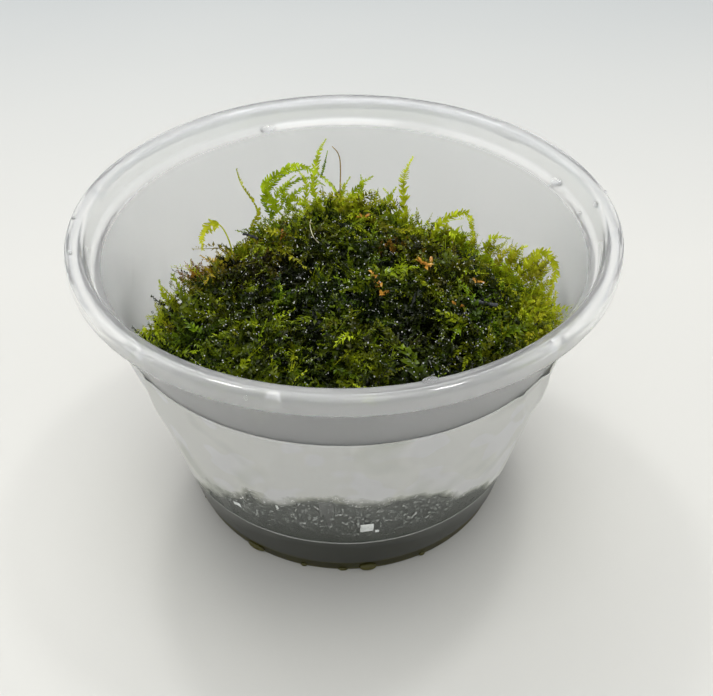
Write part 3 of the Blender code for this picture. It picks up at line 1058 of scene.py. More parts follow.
# %% [markdown]
# ## Planting the mat
#
# Shoots start all over the heap, rise, and arch back down, as the tangle does. A shoot's frame is
# its heading, the heap's normal and the side between them. Bending is a circle arc in that frame,
# worked out for all copies of one kind at once. Points that would pass the cup's wall are drawn in
# to it, as wet moss lies against the plastic.

# %% Plant shoots as one joined mesh
def keep_in_cup(points):
    """Draw points in to the cup's inside wall and up to its floor."""
    height = np.clip(points[:, 2], FLOOR_TOP_Z + MOSS_GAP, None)
    limit = wall_inner_radius(np.minimum(height, WALL_TOP_Z)) - MOSS_GAP
    across = np.hypot(points[:, 0], points[:, 1])
    share = np.where(across > limit, limit / np.maximum(across, 1e-6), 1.0)
    return np.column_stack([points[:, 0] * share, points[:, 1] * share, height])


def bend_shoots(kind, starts, ahead, up, scale, arch, sway):
    """Copy one kind of shoot to many places, each turned, sized and bent on its own arc."""
    points = kind[0]
    run = points[None, :, 0] * scale[:, None]
    side_step = points[None, :, 1] * scale[:, None]
    up_step = points[None, :, 2] * scale[:, None]
    side = np.cross(up, ahead)
    turn = arch[:, None] * run
    drop = (1.0 - np.cos(turn)) / arch[:, None]
    reach = np.sin(turn) / arch[:, None]
    sideways = 0.5 * sway[:, None] * run ** 2
    place = starts[:, None, :] + reach[..., None] * ahead[:, None, :] - drop[..., None] * up[:, None, :]
    place += (sideways + side_step)[..., None] * side[:, None, :]
    local_up = np.cos(turn)[..., None] * up[:, None, :] + np.sin(turn)[..., None] * ahead[:, None, :]
    return place + up_step[..., None] * local_up


def set_attribute(mesh, name, values):
    attribute = mesh.attributes.new(name, 'FLOAT', 'POINT')
    attribute.data.foreach_set("value", np.asarray(values, dtype=np.float32))


def build_mesh(name, points, faces, attributes):
    """A mesh object from arrays in millimetres, with one number a point for each attribute."""
    mesh = bpy.data.meshes.new(name)
    mesh.vertices.add(len(points))
    mesh.vertices.foreach_set("co", (points * MM).astype(np.float32).ravel())
    mesh.loops.add(len(faces) * 3)
    mesh.loops.foreach_set("vertex_index", faces.astype(np.int32).ravel())
    mesh.polygons.add(len(faces))
    mesh.polygons.foreach_set("loop_start", np.arange(0, len(faces) * 3, 3, dtype=np.int32))
    mesh.update(calc_edges=True)
    mesh.validate()
    for label, values in attributes.items():
        set_attribute(mesh, label, values)
    item = bpy.data.objects.new(name, mesh)
    bpy.context.scene.collection.objects.link(item)
    return item


def join_arrays(name, parts):
    """One mesh from many parts, each its points, its triangles and its numbers for the material."""
    counts = np.cumsum([0] + [len(points) for points, _, _ in parts[:-1]])
    faces = [triangles + count for (_, triangles, _), count in zip(parts, counts)]
    attributes = {}
    for label in parts[0][2]:
        attributes[label] = np.concatenate(
            [np.broadcast_to(numbers[label], len(points)) for points, _, numbers in parts])
    return build_mesh(name, np.vstack([points for points, _, _ in parts]), np.vstack(faces), attributes)


def plant(name, shoots):
    """Join mat shoots, each a dict of its place and numbers, in one mesh."""
    parts = []
    for index, kind in enumerate(shoot_kinds):
        chosen = [shoot for shoot in shoots if shoot["kind"] == index]
        if not chosen:
            continue
        column = {key: np.array([shoot[key] for shoot in chosen]) for key in chosen[0]}
        bent = bend_shoots(kind, column["start"], column["ahead"], column["up"],
                           column["scale"], column["arch"], column["sway"])
        size = len(kind[0])
        offsets = size * np.arange(len(chosen))
        triangles = (kind[1][None] + offsets[:, None, None]).reshape(-1, 3)
        numbers = {label: np.repeat(column[label], size) for label in ("tone", "hue", "wet", "thin")}
        numbers["along"] = np.tile(kind[2], len(chosen))
        parts.append((keep_in_cup(bent.reshape(-1, 3)), triangles, numbers))
    return join_arrays(name, parts)


# %% [markdown]
# ## Where the mat's shoots grow and how they look
#
# The tone of a shoot comes from where it grows. The mat is dark and packed in the middle and the
# front. Along the crest at the back, at the left edge and on the right side the shoots are thin
# against the light, so their tone is raised there as painted backlight and they get part of the
# painted glow. Between the tufts the tone is lowered to nearly black as painted shade. A few broad
# patches are laid by where they lie in the picture: greener, browner, greyer, darker or wetter places.

# %% Choose the mat's shoots
MAT_SHOOTS = 10400
MAT_SEED = 7
TUFT_SIZE = 3.4
HOLE_LEVEL = 0.22
# Each is (pixel across, pixel down, reach in mm, tone, hue, wet), added to what lies there
MOSS_PATCHES = (
    # The first patch raises the tone on the crest as further painted backlight.
    (345, 205, 9.0, 0.16, -0.05, -0.3),
    (215, 258, 3.5, -0.02, -0.60, 0.0),
    (265, 262, 4.0, -0.04, -0.35, 0.0),
    (222, 315, 3.5, -0.16, -0.10, 0.4),
    (285, 262, 3.0, -0.14, 0.0, 0.2),
    (345, 292, 3.5, -0.14, 0.30, 0.5),
    (430, 322, 4.5, -0.16, 0.20, 0.5),
    (455, 368, 5.0, -0.16, 0.0, 0.3),
    (300, 300, 4.0, 0.06, 0.40, 0.2),
    (245, 300, 3.0, 0.10, 0.30, 0.0),
    (370, 260, 6.0, -0.04, 0.35, 0.3),
    (470, 265, 6.0, 0.12, 0.0, -0.2),
    (400, 235, 5.0, 0.02, -0.25, 0.0),
    (540, 290, 4.5, 0.24, -0.08, -0.4),
    (160, 322, 3.5, 0.22, -0.12, -0.2),
    (180, 285, 4.5, 0.14, 0.0, -0.2),
    (250, 355, 6.0, 0.04, 0.25, 0.0),
    (500, 345, 5.0, 0.05, 0.0, 0.0),
    (395, 372, 6.0, -0.06, 0.15, 0.1),
)


def patch(x, y, size, layer):
    """A soft patchy number from about 0 to 1."""
    return 0.5 + 0.9 * noise.noise(Vector((x / size, y / size, layer)))


patch_places = [(point_on_heap(across, down), reach, changes)
                for across, down, reach, *changes in MOSS_PATCHES]


def mat_look(x, y):
    """Tone, hue, wetness and painted glow share of the moss at a place; the tone holds painted backlight
    and painted shade.
    """
    behind = y - crest_y(x)
    crest = smooth_step(behind, -7.0, -0.5) * (1.0 - smooth_step(behind, 1.5, 7.0))
    right = 0.8 * smooth_step(x - 0.25 * y, 21.0, 30.0)
    left = smooth_step(-x + 0.1 * y, 22.0, 29.0)
    edge = max(crest, right, left)
    tuft = noise.noise(Vector((x, y, 50.0)) / TUFT_SIZE)
    green = smooth_step(patch(x, y, 7.0, 31.0), 0.4, 0.9)
    brown = smooth_step(patch(x, y, 5.0, 41.0), 0.6, 1.0)
    # In the tone, 0.42 * edge is painted backlight and -0.46 * tuft is painted shade towards the holes
    # between tufts.
    look = [0.235 + 0.42 * edge - 0.46 * tuft + 0.24 * (patch(x, y, 6.0, 11.0) - 0.5),
            0.50 * green - 0.25 * brown,
            0.75 - 0.7 * edge + 0.5 * (patch(x, y, 4.0, 61.0) - 0.5)]
    for place, reach, changes in patch_places:
        share = math.exp(-((x - place.x) ** 2 + (y - place.y) ** 2) / reach ** 2)
        look = [value + share * change for value, change in zip(look, changes)]
    # The last number is the share of painted glow, the number thin.
    return (*look, 0.5 * edge)


def mat_shoot(random, x, y):
    normal = heap_normal(x, y)
    turn = random.uniform(0.0, math.tau)
    level = Vector((math.cos(turn), math.sin(turn), 0.0))
    ahead = (level - normal * level.dot(normal)).normalized()
    edge = smooth_step(y - crest_y(x), -8.0, 1.0)
    rise = math.radians(random.uniform(5.0, 60.0 - 25.0 * edge))
    heading = ahead * math.cos(rise) + normal * math.sin(rise)
    upright = normal * math.cos(rise) - ahead * math.sin(rise)
    roll = Quaternion(heading, random.uniform(-1.5, 1.5))
    scale = random.uniform(0.5, 1.15 - 0.2 * edge) if random.uniform() < 0.93 else random.uniform(1.1, 1.6)
    tuft = noise.noise(Vector((x, y, 50.0)) / TUFT_SIZE)
    sink = random.uniform(1.8, 3.4) + 3.2 * max(tuft, -0.3) + 1.6 * edge
    start = Vector((x, y, heap_height(x, y) - sink))
    tone, hue, wet, thin = mat_look(x, y)
    return {
        "kind": int(random.integers(len(shoot_kinds))),
        "start": start,
        "ahead": heading,
        "up": roll @ upright,
        "scale": scale,
        "arch": (rise + math.radians(random.uniform(5.0, 60.0))) / (MAT_SHOOT_LENGTH * scale),
        "sway": random.uniform(-0.14, 0.14),
        "tone": min(max(tone + random.normal(0.0, 0.16), 0.02), 0.82),
        "hue": min(max(hue + random.uniform(-0.2, 0.2), -1.0), 1.0),
        "wet": min(max(wet + random.uniform(-0.3, 0.5), 0.0), 1.0),
        "thin": thin,
    }


def choose_mat_shoots():
    random = np.random.default_rng(MAT_SEED)
    shoots = []
    while len(shoots) < MAT_SHOOTS:
        x = random.uniform(-33.0, 33.0)
        y = random.uniform(-33.0, 31.0)
        z = heap_height(x, y)
        margin = 0.8 if y < -18.0 else 3.2
        if z < FLOOR_TOP_Z or math.hypot(x, y) > wall_inner_radius(min(z, WALL_TOP_Z)) - margin:
            continue
        if random.uniform(0.0, 1.6) > 1.0 / heap_normal(x, y).z:
            continue
        if noise.noise(Vector((x, y, 50.0)) / TUFT_SIZE) > HOLE_LEVEL + random.uniform(0.0, 0.3):
            continue
        shoots.append(mat_shoot(random, x, y))
    return shoots


mat_shoots = choose_mat_shoots()
mat_parts = {
    "moss_mat_front_left": lambda x, y: y < -15.0 and x < 0.0,
    "moss_mat_front_right": lambda x, y: y < -15.0 and x >= 0.0,
    "moss_mat_left": lambda x, y: y >= -15.0 and x < -10.0,
    "moss_mat_middle_left": lambda x, y: y >= -15.0 and -10.0 <= x < 2.0,
    "moss_mat_middle_right": lambda x, y: y >= -15.0 and 2.0 <= x < 13.0,
    "moss_mat_right": lambda x, y: y >= -15.0 and x >= 13.0,
}
for part_name, holds in mat_parts.items():
    chosen = [shoot for shoot in mat_shoots if holds(shoot["start"].x, shoot["start"].y)]
    mat = plant(part_name, chosen)
    finish_piece(mat, part_name, leaf_material)

# %% [markdown]
# ## The shoots that stand free
#
# Shoots stand clear of the heap at the back and the sides, and they are what one sees first of the
# moss. Each follows its own route, with the root first. The first thirteen long ones are the same as
# in the imported solid, and the short ones fill the tangles round them. The straight shoot is laid
# along a smooth curve through those points, with its leaves spread to the front. They are thin and
# lit from behind, so they are the brightest part: their tones are set high as painted backlight, and
# they carry the full painted glow.

# %% Routes of the free shoots
# Each is (leaf length, leaf size on either side, bare share, tone, hue, route in millimetres)
FREE_SHOOTS = (
    (0.75, (1.0, 0.30), 0.0, 0.70, -0.15, ((-12.0, -4.0, 40.0), (-12.4, -3.2, 45.0),
        (-11.3, -3.0, 47.8), (-13.1, -2.8, 51.5), (-13.6, -3.0, 54.0))),
    (1.25, (0.9, 1.1), 0.45, 0.86, -0.15, ((-14.2, -7.0, 40.0), (-15.0, -6.2, 45.4),
        (-16.4, -6.0, 47.8), (-18.4, -5.6, 45.8), (-18.6, -5.8, 43.6))),
    (0.95, (1.1, 0.8), 0.1, 0.76, 0.35, ((-7.6, 2.0, 42.5), (-10.8, 3.3, 46.6), (-9.6, 3.5, 49.0),
        (-6.2, 3.6, 50.7), (-2.8, 3.4, 49.0), (-0.8, 3.0, 46.5))),
    (0.70, (1.0, 0.8), 0.0, 0.80, 0.15, ((-4.4, 4.4, 46.0), (-3.7, 5.0, 51.1), (-2.4, 5.2, 53.8))),
    (0.45, (0.6, 0.6), 0.0, 0.60, 0.60, ((-3.2, 4.0, 48.6), (-2.7, 4.6, 50.2), (-2.2, 4.8, 52.3))),
    (0.25, (0.4, 0.4), 0.9, 0.56, -0.75, ((-0.7, 4.2, 45.0), (-0.6, 5.0, 50.8), (-1.6, 5.2, 52.7))),
    (0.70, (1.0, 0.8), 0.1, 0.76, 0.25, ((0.2, 3.4, 45.0), (2.0, 4.0, 47.4), (3.9, 4.2, 48.7))),
    (0.75, (1.0, 1.0), 0.0, 0.82, -0.05, ((8.3, 1.0, 42.0), (7.9, 1.5, 48.5), (8.2, 1.7, 51.0),
        (9.1, 1.7, 53.0))),
    (0.75, (0.8, 1.0), 0.0, 0.68, 0.20, ((4.3, 1.2, 44.0), (7.0, 2.0, 48.3))),
    (0.75, (0.8, 1.0), 0.0, 0.80, -0.05, ((11.2, -3.0, 42.5), (13.0, -2.5, 45.6), (16.0, -2.2, 46.8),
        (17.2, -2.5, 44.2), (17.4, -3.0, 40.6))),
    (0.75, (1.0, 1.0), 0.0, 0.74, 0.05, ((18.6, -6.2, 41.0), (18.9, -6.0, 45.1), (21.6, -6.0, 45.3))),
    (0.75, (1.0, 1.0), 0.0, 0.78, -0.05, ((21.2, -7.4, 41.0), (22.0, -7.0, 43.6), (23.8, -7.0, 44.8))),
    (0.80, (1.0, 1.0), 0.0, 0.82, -0.10, ((22.4, -10.0, 42.0), (25.0, -10.0, 45.8),
        (27.1, -10.2, 43.4), (26.6, -10.6, 38.3), (26.8, -11.0, 34.0))),
    (0.60, (1.0, 1.0), 0.0, 0.68, 0.0, ((-20.8, -15.4, 40.5), (-22.2, -16.0, 44.0),
        (-22.4, -16.2, 46.2))),
    (0.60, (1.0, 1.0), 0.0, 0.78, 0.30, ((-9.4, 3.2, 43.5), (-9.2, 3.6, 46.4), (-6.6, 3.7, 49.2))),
    (0.60, (1.0, 1.0), 0.0, 0.72, 0.35, ((-8.2, 3.2, 43.5), (-6.6, 3.6, 46.6), (-3.2, 3.7, 48.0))),
    (0.55, (1.0, 1.0), 0.0, 0.82, 0.10, ((-5.6, 3.2, 44.5), (-5.2, 3.6, 48.0), (-6.4, 3.7, 50.2))),
    (0.55, (1.0, 1.0), 0.0, 0.80, 0.20, ((-3.4, 3.0, 44.5), (-4.4, 3.5, 47.4), (-3.9, 3.7, 50.4))),
    (0.55, (0.8, 0.8), 0.0, 0.72, 0.35, ((-10.4, 2.8, 43.0), (-8.6, 3.5, 45.0), (-10.3, 3.7, 48.0))),
    (0.55, (1.0, 1.0), 0.0, 0.74, 0.10, ((-0.6, 3.2, 44.5), (-0.2, 3.5, 47.0), (0.8, 3.6, 49.0))),
    (0.55, (1.0, 1.0), 0.0, 0.70, 0.30, ((1.2, 3.2, 44.5), (2.4, 3.5, 47.0), (2.2, 3.6, 49.3))),
    (0.55, (1.0, 1.0), 0.0, 0.72, 0.00, ((7.4, 1.0, 44.0), (6.4, 1.4, 46.8), (5.2, 1.5, 48.4))),
    (0.60, (1.0, 1.0), 0.0, 0.76, -0.10, ((16.4, -2.9, 40.5), (17.2, -2.6, 43.2), (16.4, -2.3, 46.0))),
    (0.55, (1.0, 1.0), 0.0, 0.72, -0.15, ((13.4, -2.9, 41.5), (14.4, -2.6, 44.0), (13.2, -2.4, 45.6))),
    (0.60, (1.0, 1.0), 0.0, 0.80, -0.15, ((24.4, -11.4, 36.0), (25.6, -10.8, 40.0),
        (25.0, -10.4, 43.6))),
    (0.60, (1.0, 1.0), 0.0, 0.76, -0.20, ((25.4, -12.0, 34.0), (26.4, -11.2, 38.5),
        (26.9, -10.8, 42.2))),
    (0.60, (1.0, 1.0), 0.0, 0.82, -0.10, ((25.8, -13.4, 33.0), (27.0, -12.4, 37.0),
        (27.2, -11.6, 41.0))),
    (0.50, (1.0, 1.0), 0.0, 0.66, -0.10, ((-20.6, -12.6, 38.5), (-22.2, -12.2, 40.8),
        (-23.2, -12.2, 42.4))),
    (0.50, (1.0, 1.0), 0.0, 0.62, -0.15, ((-21.6, -14.0, 37.5), (-23.4, -14.0, 39.4),
        (-24.0, -14.0, 40.8))),
    (0.60, (1.0, 1.0), 0.0, 0.64, 0.50, ((-9.8, 2.6, 43.0), (-11.0, 3.4, 46.0), (-8.0, 3.6, 49.4),
        (-5.0, 3.7, 50.2))),
    (0.60, (1.0, 1.0), 0.0, 0.70, 0.40, ((-7.0, 3.0, 44.0), (-8.4, 3.5, 47.0), (-5.0, 3.7, 48.8),
        (-2.6, 3.6, 47.6))),
    (0.60, (1.0, 1.0), 0.0, 0.78, 0.20, ((-4.0, 3.0, 44.0), (-7.6, 3.4, 46.2), (-9.4, 3.6, 47.4))),
)
FREE_SHOOT_FACING = Vector((0.0, -1.0, 0.25))
FREE_LEAF_STEP = 0.24
FREE_LEAF_SLENDER = 0.30
FREE_STEM_WIDTH = 0.27
FREE_LIFTS = (-60.0, 60.0)
FREE_WET = 0.15
FREE_SEED = 100


# %% Lay a shoot along a route
def point_along(route, place):
    """The point a share of the way along a smooth curve through the route, and its heading."""
    last = len(route) - 1
    index = min(int(place * last), last - 1)
    share = place * last - index
    before = route[max(index - 1, 0)]
    start = route[index]
    end = route[index + 1]
    after = route[min(index + 2, last)]
    leave = (end - before) * 0.5
    arrive = (after - start) * 0.5
    cubed = share ** 3
    squared = share ** 2
    point = start * (2 * cubed - 3 * squared + 1) + leave * (cubed - 2 * squared + share)
    point += end * (3 * squared - 2 * cubed) + arrive * (cubed - squared)
    heading = start * (6 * squared - 6 * share) + leave * (3 * squared - 4 * share + 1)
    heading += end * (6 * share - 6 * squared) + arrive * (3 * squared - 2 * share)
    return point, heading.normalized()


def route_length(route):
    places = [point_along(route, step / 24.0)[0] for step in range(25)]
    return sum((second - first).length for first, second in zip(places, places[1:]))


def lay_along(kind, route, length, facing):
    """Lay a straight shoot's points along a route."""
    laid = []
    for run, across, out in kind[0]:
        middle, heading = point_along(route, min(max(run / length, 0.0), 1.0))
        beyond = run - min(max(run, 0.0), length)
        side = heading.cross(facing).normalized()
        front = side.cross(heading).normalized()
        laid.append(middle + heading * beyond + side * across + front * out)
    return np.array(laid)


def make_free_shoots():
    parts = []
    for index, (leaf_length, rows, bare, tone, hue, places) in enumerate(FREE_SHOOTS):
        route = [Vector(place) for place in places]
        length = route_length(route)
        pairs = int(length / FREE_LEAF_STEP)
        kind = model_shoot(FREE_SEED + index, free_stem, free_leaf, pairs, length, leaf_length,
                           FREE_LEAF_SLENDER * leaf_length, rows, FREE_LIFTS, FREE_STEM_WIDTH, bare)
        # thin 1.0 gives the free shoots the full painted glow.
        numbers = {"tone": tone, "hue": hue, "wet": FREE_WET, "thin": 1.0, "along": 0.4 + 0.6 * kind[2]}
        points = keep_in_cup(lay_along(kind, route, length, FREE_SHOOT_FACING))
        parts.append((points, kind[1], numbers))
    return join_arrays("moss_free_shoots", parts)


free_shoots = make_free_shoots()
finish_piece(free_shoots, "moss_free_shoots", leaf_material)

# %% [markdown]
# ## Tufts along the outline
#
# Against the pale wall, the mat's outline is not smooth: small tufts stand up from it, and a few
# brown strands lie across it. Each tuft is a handful of the mat's shoots whose tips gather round one
# pixel of the picture, where its ray meets the heap or passes nearest to it.

# %% Tufts
# The high tones along the outline are partly the young tips' own colour and partly painted backlight.
# Each is (pixel across, pixel down, shoots, size, tone, hue)
TUFTS = (
    (160, 334, 5, 0.5, 0.64, -0.1), (161, 320, 5, 0.5, 0.66, -0.2), (163, 305, 5, 0.5, 0.62, 0.0),
    (170, 292, 6, 0.5, 0.60, 0.0), (178, 278, 6, 0.5, 0.55, -0.2), (184, 269, 6, 0.5, 0.52, -0.9),
    (192, 266, 8, 0.5, 0.56, -0.9), (201, 264, 6, 0.5, 0.50, -0.9), (213, 257, 6, 0.5, 0.50, 0.0),
    (228, 251, 5, 0.5, 0.54, 0.0), (240, 241, 7, 0.6, 0.60, -0.1), (248, 234, 5, 0.5, 0.64, -0.3),
    (262, 228, 7, 0.6, 0.58, 0.0), (276, 220, 5, 0.5, 0.52, -0.4), (290, 212, 6, 0.5, 0.60, 0.2),
    (303, 206, 5, 0.5, 0.58, 0.3), (316, 200, 5, 0.5, 0.62, 0.1), (330, 194, 6, 0.5, 0.68, 0.0),
    (345, 194, 7, 0.5, 0.72, -0.1), (357, 196, 6, 0.5, 0.70, -0.1), (372, 194, 6, 0.5, 0.64, 0.1),
    (384, 206, 6, 0.5, 0.62, 0.0), (398, 207, 6, 0.5, 0.62, 0.2),
    (414, 213, 6, 0.5, 0.58, 0.0), (440, 220, 7, 0.5, 0.72, -0.1),
    (452, 226, 6, 0.5, 0.66, -0.1), (464, 234, 6, 0.5, 0.66, -0.1),
    (480, 238, 6, 0.5, 0.68, -0.1), (496, 244, 6, 0.5, 0.66, 0.0), (508, 242, 7, 0.6, 0.74, -0.1),
    (520, 250, 7, 0.6, 0.72, -0.1), (530, 256, 8, 0.6, 0.76, -0.1), (540, 258, 8, 0.7, 0.76, -0.2),
    (549, 258, 8, 0.7, 0.72, -0.3), (551, 270, 7, 0.7, 0.78, -0.1), (545, 284, 8, 0.7, 0.80, -0.1),
    (552, 292, 7, 0.6, 0.80, -0.1), (536, 296, 7, 0.7, 0.78, -0.1), (553, 308, 7, 0.6, 0.78, -0.1),
    (546, 318, 7, 0.6, 0.74, -0.1), (554, 322, 6, 0.5, 0.76, -0.1), (528, 318, 6, 0.6, 0.70, -0.1),
    (262, 240, 5, 0.7, 0.36, -0.8), (277, 236, 5, 0.7, 0.34, -0.8), (268, 252, 5, 0.7, 0.30, -0.7),
    (386, 238, 6, 0.7, 0.46, -0.8), (402, 242, 5, 0.7, 0.44, -0.7), (416, 250, 5, 0.7, 0.42, -0.6),
    (345, 262, 5, 0.7, 0.50, 0.2), (318, 270, 5, 0.6, 0.56, 0.1), (296, 352, 6, 0.8, 0.46, 0.5),
    (235, 340, 6, 0.8, 0.48, 0.3), (385, 345, 6, 0.8, 0.46, 0.4), (250, 372, 6, 0.8, 0.46, 0.3),
    (205, 345, 5, 0.9, 0.50, 0.0), (270, 328, 5, 0.9, 0.46, 0.4), (320, 352, 5, 0.9, 0.46, 0.5),
    (352, 368, 5, 0.9, 0.44, 0.3), (410, 374, 5, 0.9, 0.42, 0.2), (440, 350, 5, 0.9, 0.44, 0.1),
    (470, 342, 5, 0.9, 0.50, 0.0), (500, 330, 5, 0.9, 0.56, -0.1), (222, 322, 5, 0.8, 0.34, 0.0),
    (300, 380, 5, 0.9, 0.44, 0.3), (365, 318, 5, 0.9, 0.40, 0.5), (415, 298, 5, 0.9, 0.42, 0.3),
    (505, 290, 6, 0.8, 0.60, -0.1), (488, 272, 6, 0.8, 0.56, -0.2), (300, 290, 5, 0.9, 0.44, 0.5),
)
TUFT_SEED = 21
TUFT_SPREAD = 1.1
TUFT_REACH = ((-1.0, 1.0), (-1.0, 1.0), (-0.8, 0.1))


def choose_tufts():
    random = np.random.default_rng(TUFT_SEED)
    shoots = []
    for across, down, count, size, tone, hue in TUFTS:
        middle = point_on_heap(across, down)
        for _ in range(count):
            offset = Vector([random.uniform(low, high) for low, high in TUFT_REACH])
            lean = Vector((random.uniform(-0.8, 0.8) + middle.x / 50.0, random.uniform(-0.4, 0.2), 1.0))
            lean = lean.normalized()
            facing = FREE_SHOOT_FACING - lean * FREE_SHOOT_FACING.dot(lean)
            scale = size * random.uniform(0.75, 1.2)
            shoots.append({
                "kind": int(random.integers(len(shoot_kinds))),
                "start": middle + offset * TUFT_SPREAD - lean * (0.92 * MAT_SHOOT_LENGTH * scale),
                "ahead": lean,
                "up": facing.normalized(),
                "scale": scale,
                "arch": random.uniform(0.02, 0.25),
                "sway": random.uniform(-0.15, 0.15),
                "tone": min(max(tone + random.normal(0.0, 0.08), 0.05), 1.0),
                "hue": min(max(hue + random.uniform(-0.2, 0.2), -1.0), 1.0),
                "wet": random.uniform(0.0, 0.4),
                # thin is each tuft shoot's share of the painted glow.
                "thin": random.uniform(0.2, 0.8),
            })
    return shoots


tufts = plant("moss_tufts", choose_tufts())
finish_piece(tufts, "moss_tufts", leaf_material)

# %% [markdown]
# ## Dead bits, a twig and a root thread
#
# A few orange-brown dead tips, one short black twig, one dark stub and one pale root thread lie on
# the moss. Each is placed by its pixel on the heap. The dead tips are small bunches of the same
# leaves. The twig, the stub and the thread are the same tube as a stem, laid along a short route.

# %% Dead tips
# Each is (pixel across, pixel down, reach in mm, leaves, tone)
DEAD_TIPS = (
    (426, 267, 1.3, 10, 0.78),
    (475, 283, 1.0, 7, 0.75),
    (459, 308, 1.0, 8, 0.66),
    (374, 276, 1.0, 6, 0.80),
    (384, 296, 1.1, 7, 0.74),
    (378, 287, 0.9, 6, 0.66),
    (363, 218, 0.9, 5, 0.70),
    (285, 238, 1.2, 6, 0.56),
)
SURFACE_LIFT = -0.3
DEAD_SEED = 5


def make_dead_tips():
    random = np.random.default_rng(DEAD_SEED)
    parts = []
    for across, down, reach, leaves, tone in DEAD_TIPS:
        middle = point_on_heap(across, down, SURFACE_LIFT)
        # thin 0.3 gives the dead tips a little painted glow.
        numbers = {"tone": tone, "hue": -1.0, "wet": 0.5, "thin": 0.3, "along": 0.8}
        for _ in range(leaves):
            length = reach * random.uniform(0.6, 0.95)
            leaf = free_leaf[0] * np.array([length, 0.40 * length, 0.25 * length])
            turn = Quaternion((0.0, 0.0, 1.0), random.uniform(0.0, math.tau))
            tilt = Quaternion((0.0, 1.0, 0.0), random.uniform(-0.9, 0.3))
            offset = middle + Vector((random.uniform(-0.5, 0.5), random.uniform(-0.4, 0.4), 0.2)) * reach
            points = np.array([offset + turn @ (tilt @ Vector(point)) for point in leaf])
            parts.append((points, free_leaf[1], numbers))
    return join_arrays("moss_dead_tips", parts)


finish_piece(make_dead_tips(), "moss_dead_tips", leaf_material)


# %% Twig, stub and root thread
TWIG_DARK = (0.010, 0.010, 0.013, 1.0)
TWIG_LIGHT = (0.060, 0.062, 0.070, 1.0)
ROOT_LIGHT = (0.75, 0.72, 0.52, 1.0)
ROOT_DARK = (0.50, 0.46, 0.28, 1.0)


def make_thread_material(name, first, second):
    material, tree, shader = new_material(name, {"Metallic": 0.0, "Specular IOR Level": 0.4})
    tone = mottle(tree, 1400.0, -0.4, 1.4)
    tree.links.new(mix_colors(tree, tone, first, second), shader.inputs["Base Color"])
    tree.links.new(mottle(tree, 900.0, 0.25, 0.6), shader.inputs["Roughness"])
    add_grain(tree, shader, 2200.0, 0.6, 0.1)
    return material


def make_thread(name, pixels, lift, width, material):
    """A thin round thread along pixels on the heap."""
    route = [point_on_heap(across, down, lift) for across, down in pixels]
    length = route_length(route)
    tube = thread_tube[0] * np.array([length, width, width])
    bumps = np.array([1.0 + 0.35 * noise.noise(Vector(point) * 2.0) for point in tube])
    tube[:, 1:] *= bumps[:, None]
    points = lay_along((tube, thread_tube[1]), route, length, FREE_SHOOT_FACING)
    return finish_piece(build_mesh(name, points, thread_tube[1], {}), name, material)


thread_tube = model_stem(FREE_STEM_CUTS, 8)
dark_wood = make_thread_material("dark_twig", TWIG_DARK, TWIG_LIGHT)
pale_root = make_thread_material("pale_root", ROOT_LIGHT, ROOT_DARK)
make_thread("moss_twig", ((471, 301), (480, 302), (488, 304), (497, 305)), 0.1, 0.50, dark_wood)
make_thread("moss_stub", ((243, 234), (249, 235), (258, 239)), 0.2, 0.34, dark_wood)
make_thread("moss_root_thread", ((311, 220), (310, 225), (313, 236), (319, 243)), 0.2, 0.11, pale_root)

# %% [markdown]
# ## Water
#
# Everything is wet. Clear drops sit on the rim and its ledge, short plugs of water are caught in the
# channel under the rim, small olive drops cling to the foot, and fine beads sit in clusters on the
# wettest moss. A drop is a ball, flattened and sunk a little into what carries it: the rim's top, its
# slopes or the ledge, each at its own height. A plug is a small rounded block that fills the channel.
# All are plain clear water, apart from the olive water at the foot and the beads, whose water is half white
# as a painted glint.

# %% Water materials
def make_water_material(name, color, transmission):
    material, tree, shader = new_material(name, {
        "Base Color": color,
        "IOR": 1.333,
        "Transmission Weight": transmission,
        "Metallic": 0.0,
        "Roughness": 0.02,
    })
    add_grain(tree, shader, 500.0, 0.05, 0.1)
    return material


clear_water = make_water_material("clear_water", (1.0, 1.0, 1.0, 1.0), 1.0)
olive_water = make_water_material("olive_water", (0.13, 0.12, 0.03, 1.0), 0.5)
# The beads' water is half white diffuse, a painted glint for the sparkle of wet beads.
bead_water_painted_glint = make_water_material("bead_water_painted_glint", (1.0, 1.0, 1.0, 1.0), 0.5)


# %% Drops
def point_at_height(across, down, height):
    """Where a pixel's ray meets a level plane."""
    ray = pixel_ray(across, down)
    return CAMERA_PLACE + ray * ((height - CAMERA_PLACE.z) / ray.z)


def join_as_one(items):
    for other in bpy.data.objects:
        other.select_set(other in items)
    bpy.context.view_layer.objects.active = items[0]
    bpy.ops.object.join()
    return bpy.context.active_object


def make_drops(name, drops, material, radius=None):
    """Flattened drops, each (pixel across, pixel down, height, length, width, rise).

    With a radius, the drops are moved in or out to stand on that circle, round the cup's foot.
    """
    items = []
    for across, down, height, length, width, rise in drops:
        place = point_at_height(across, down, height)
        if radius:
            place = Vector((place.x, place.y, 0.0)).normalized() * radius
            place.z = height + 0.5 * rise
        else:
            place.z += 0.2 * rise
        bpy.ops.mesh.primitive_ico_sphere_add(subdivisions=3, radius=MM, location=place * MM)
        drop = bpy.context.active_object
        drop.rotation_euler.z = math.atan2(place.y, place.x) + math.pi / 2.0
        drop.scale = (length / 2.0, width / 2.0, rise / 2.0)
        work_on(drop)
        bpy.ops.object.transform_apply(rotation=True, scale=True)
        bpy.ops.object.shade_smooth()
        items.append(drop)
    return finish_piece(join_as_one(items), name, material)


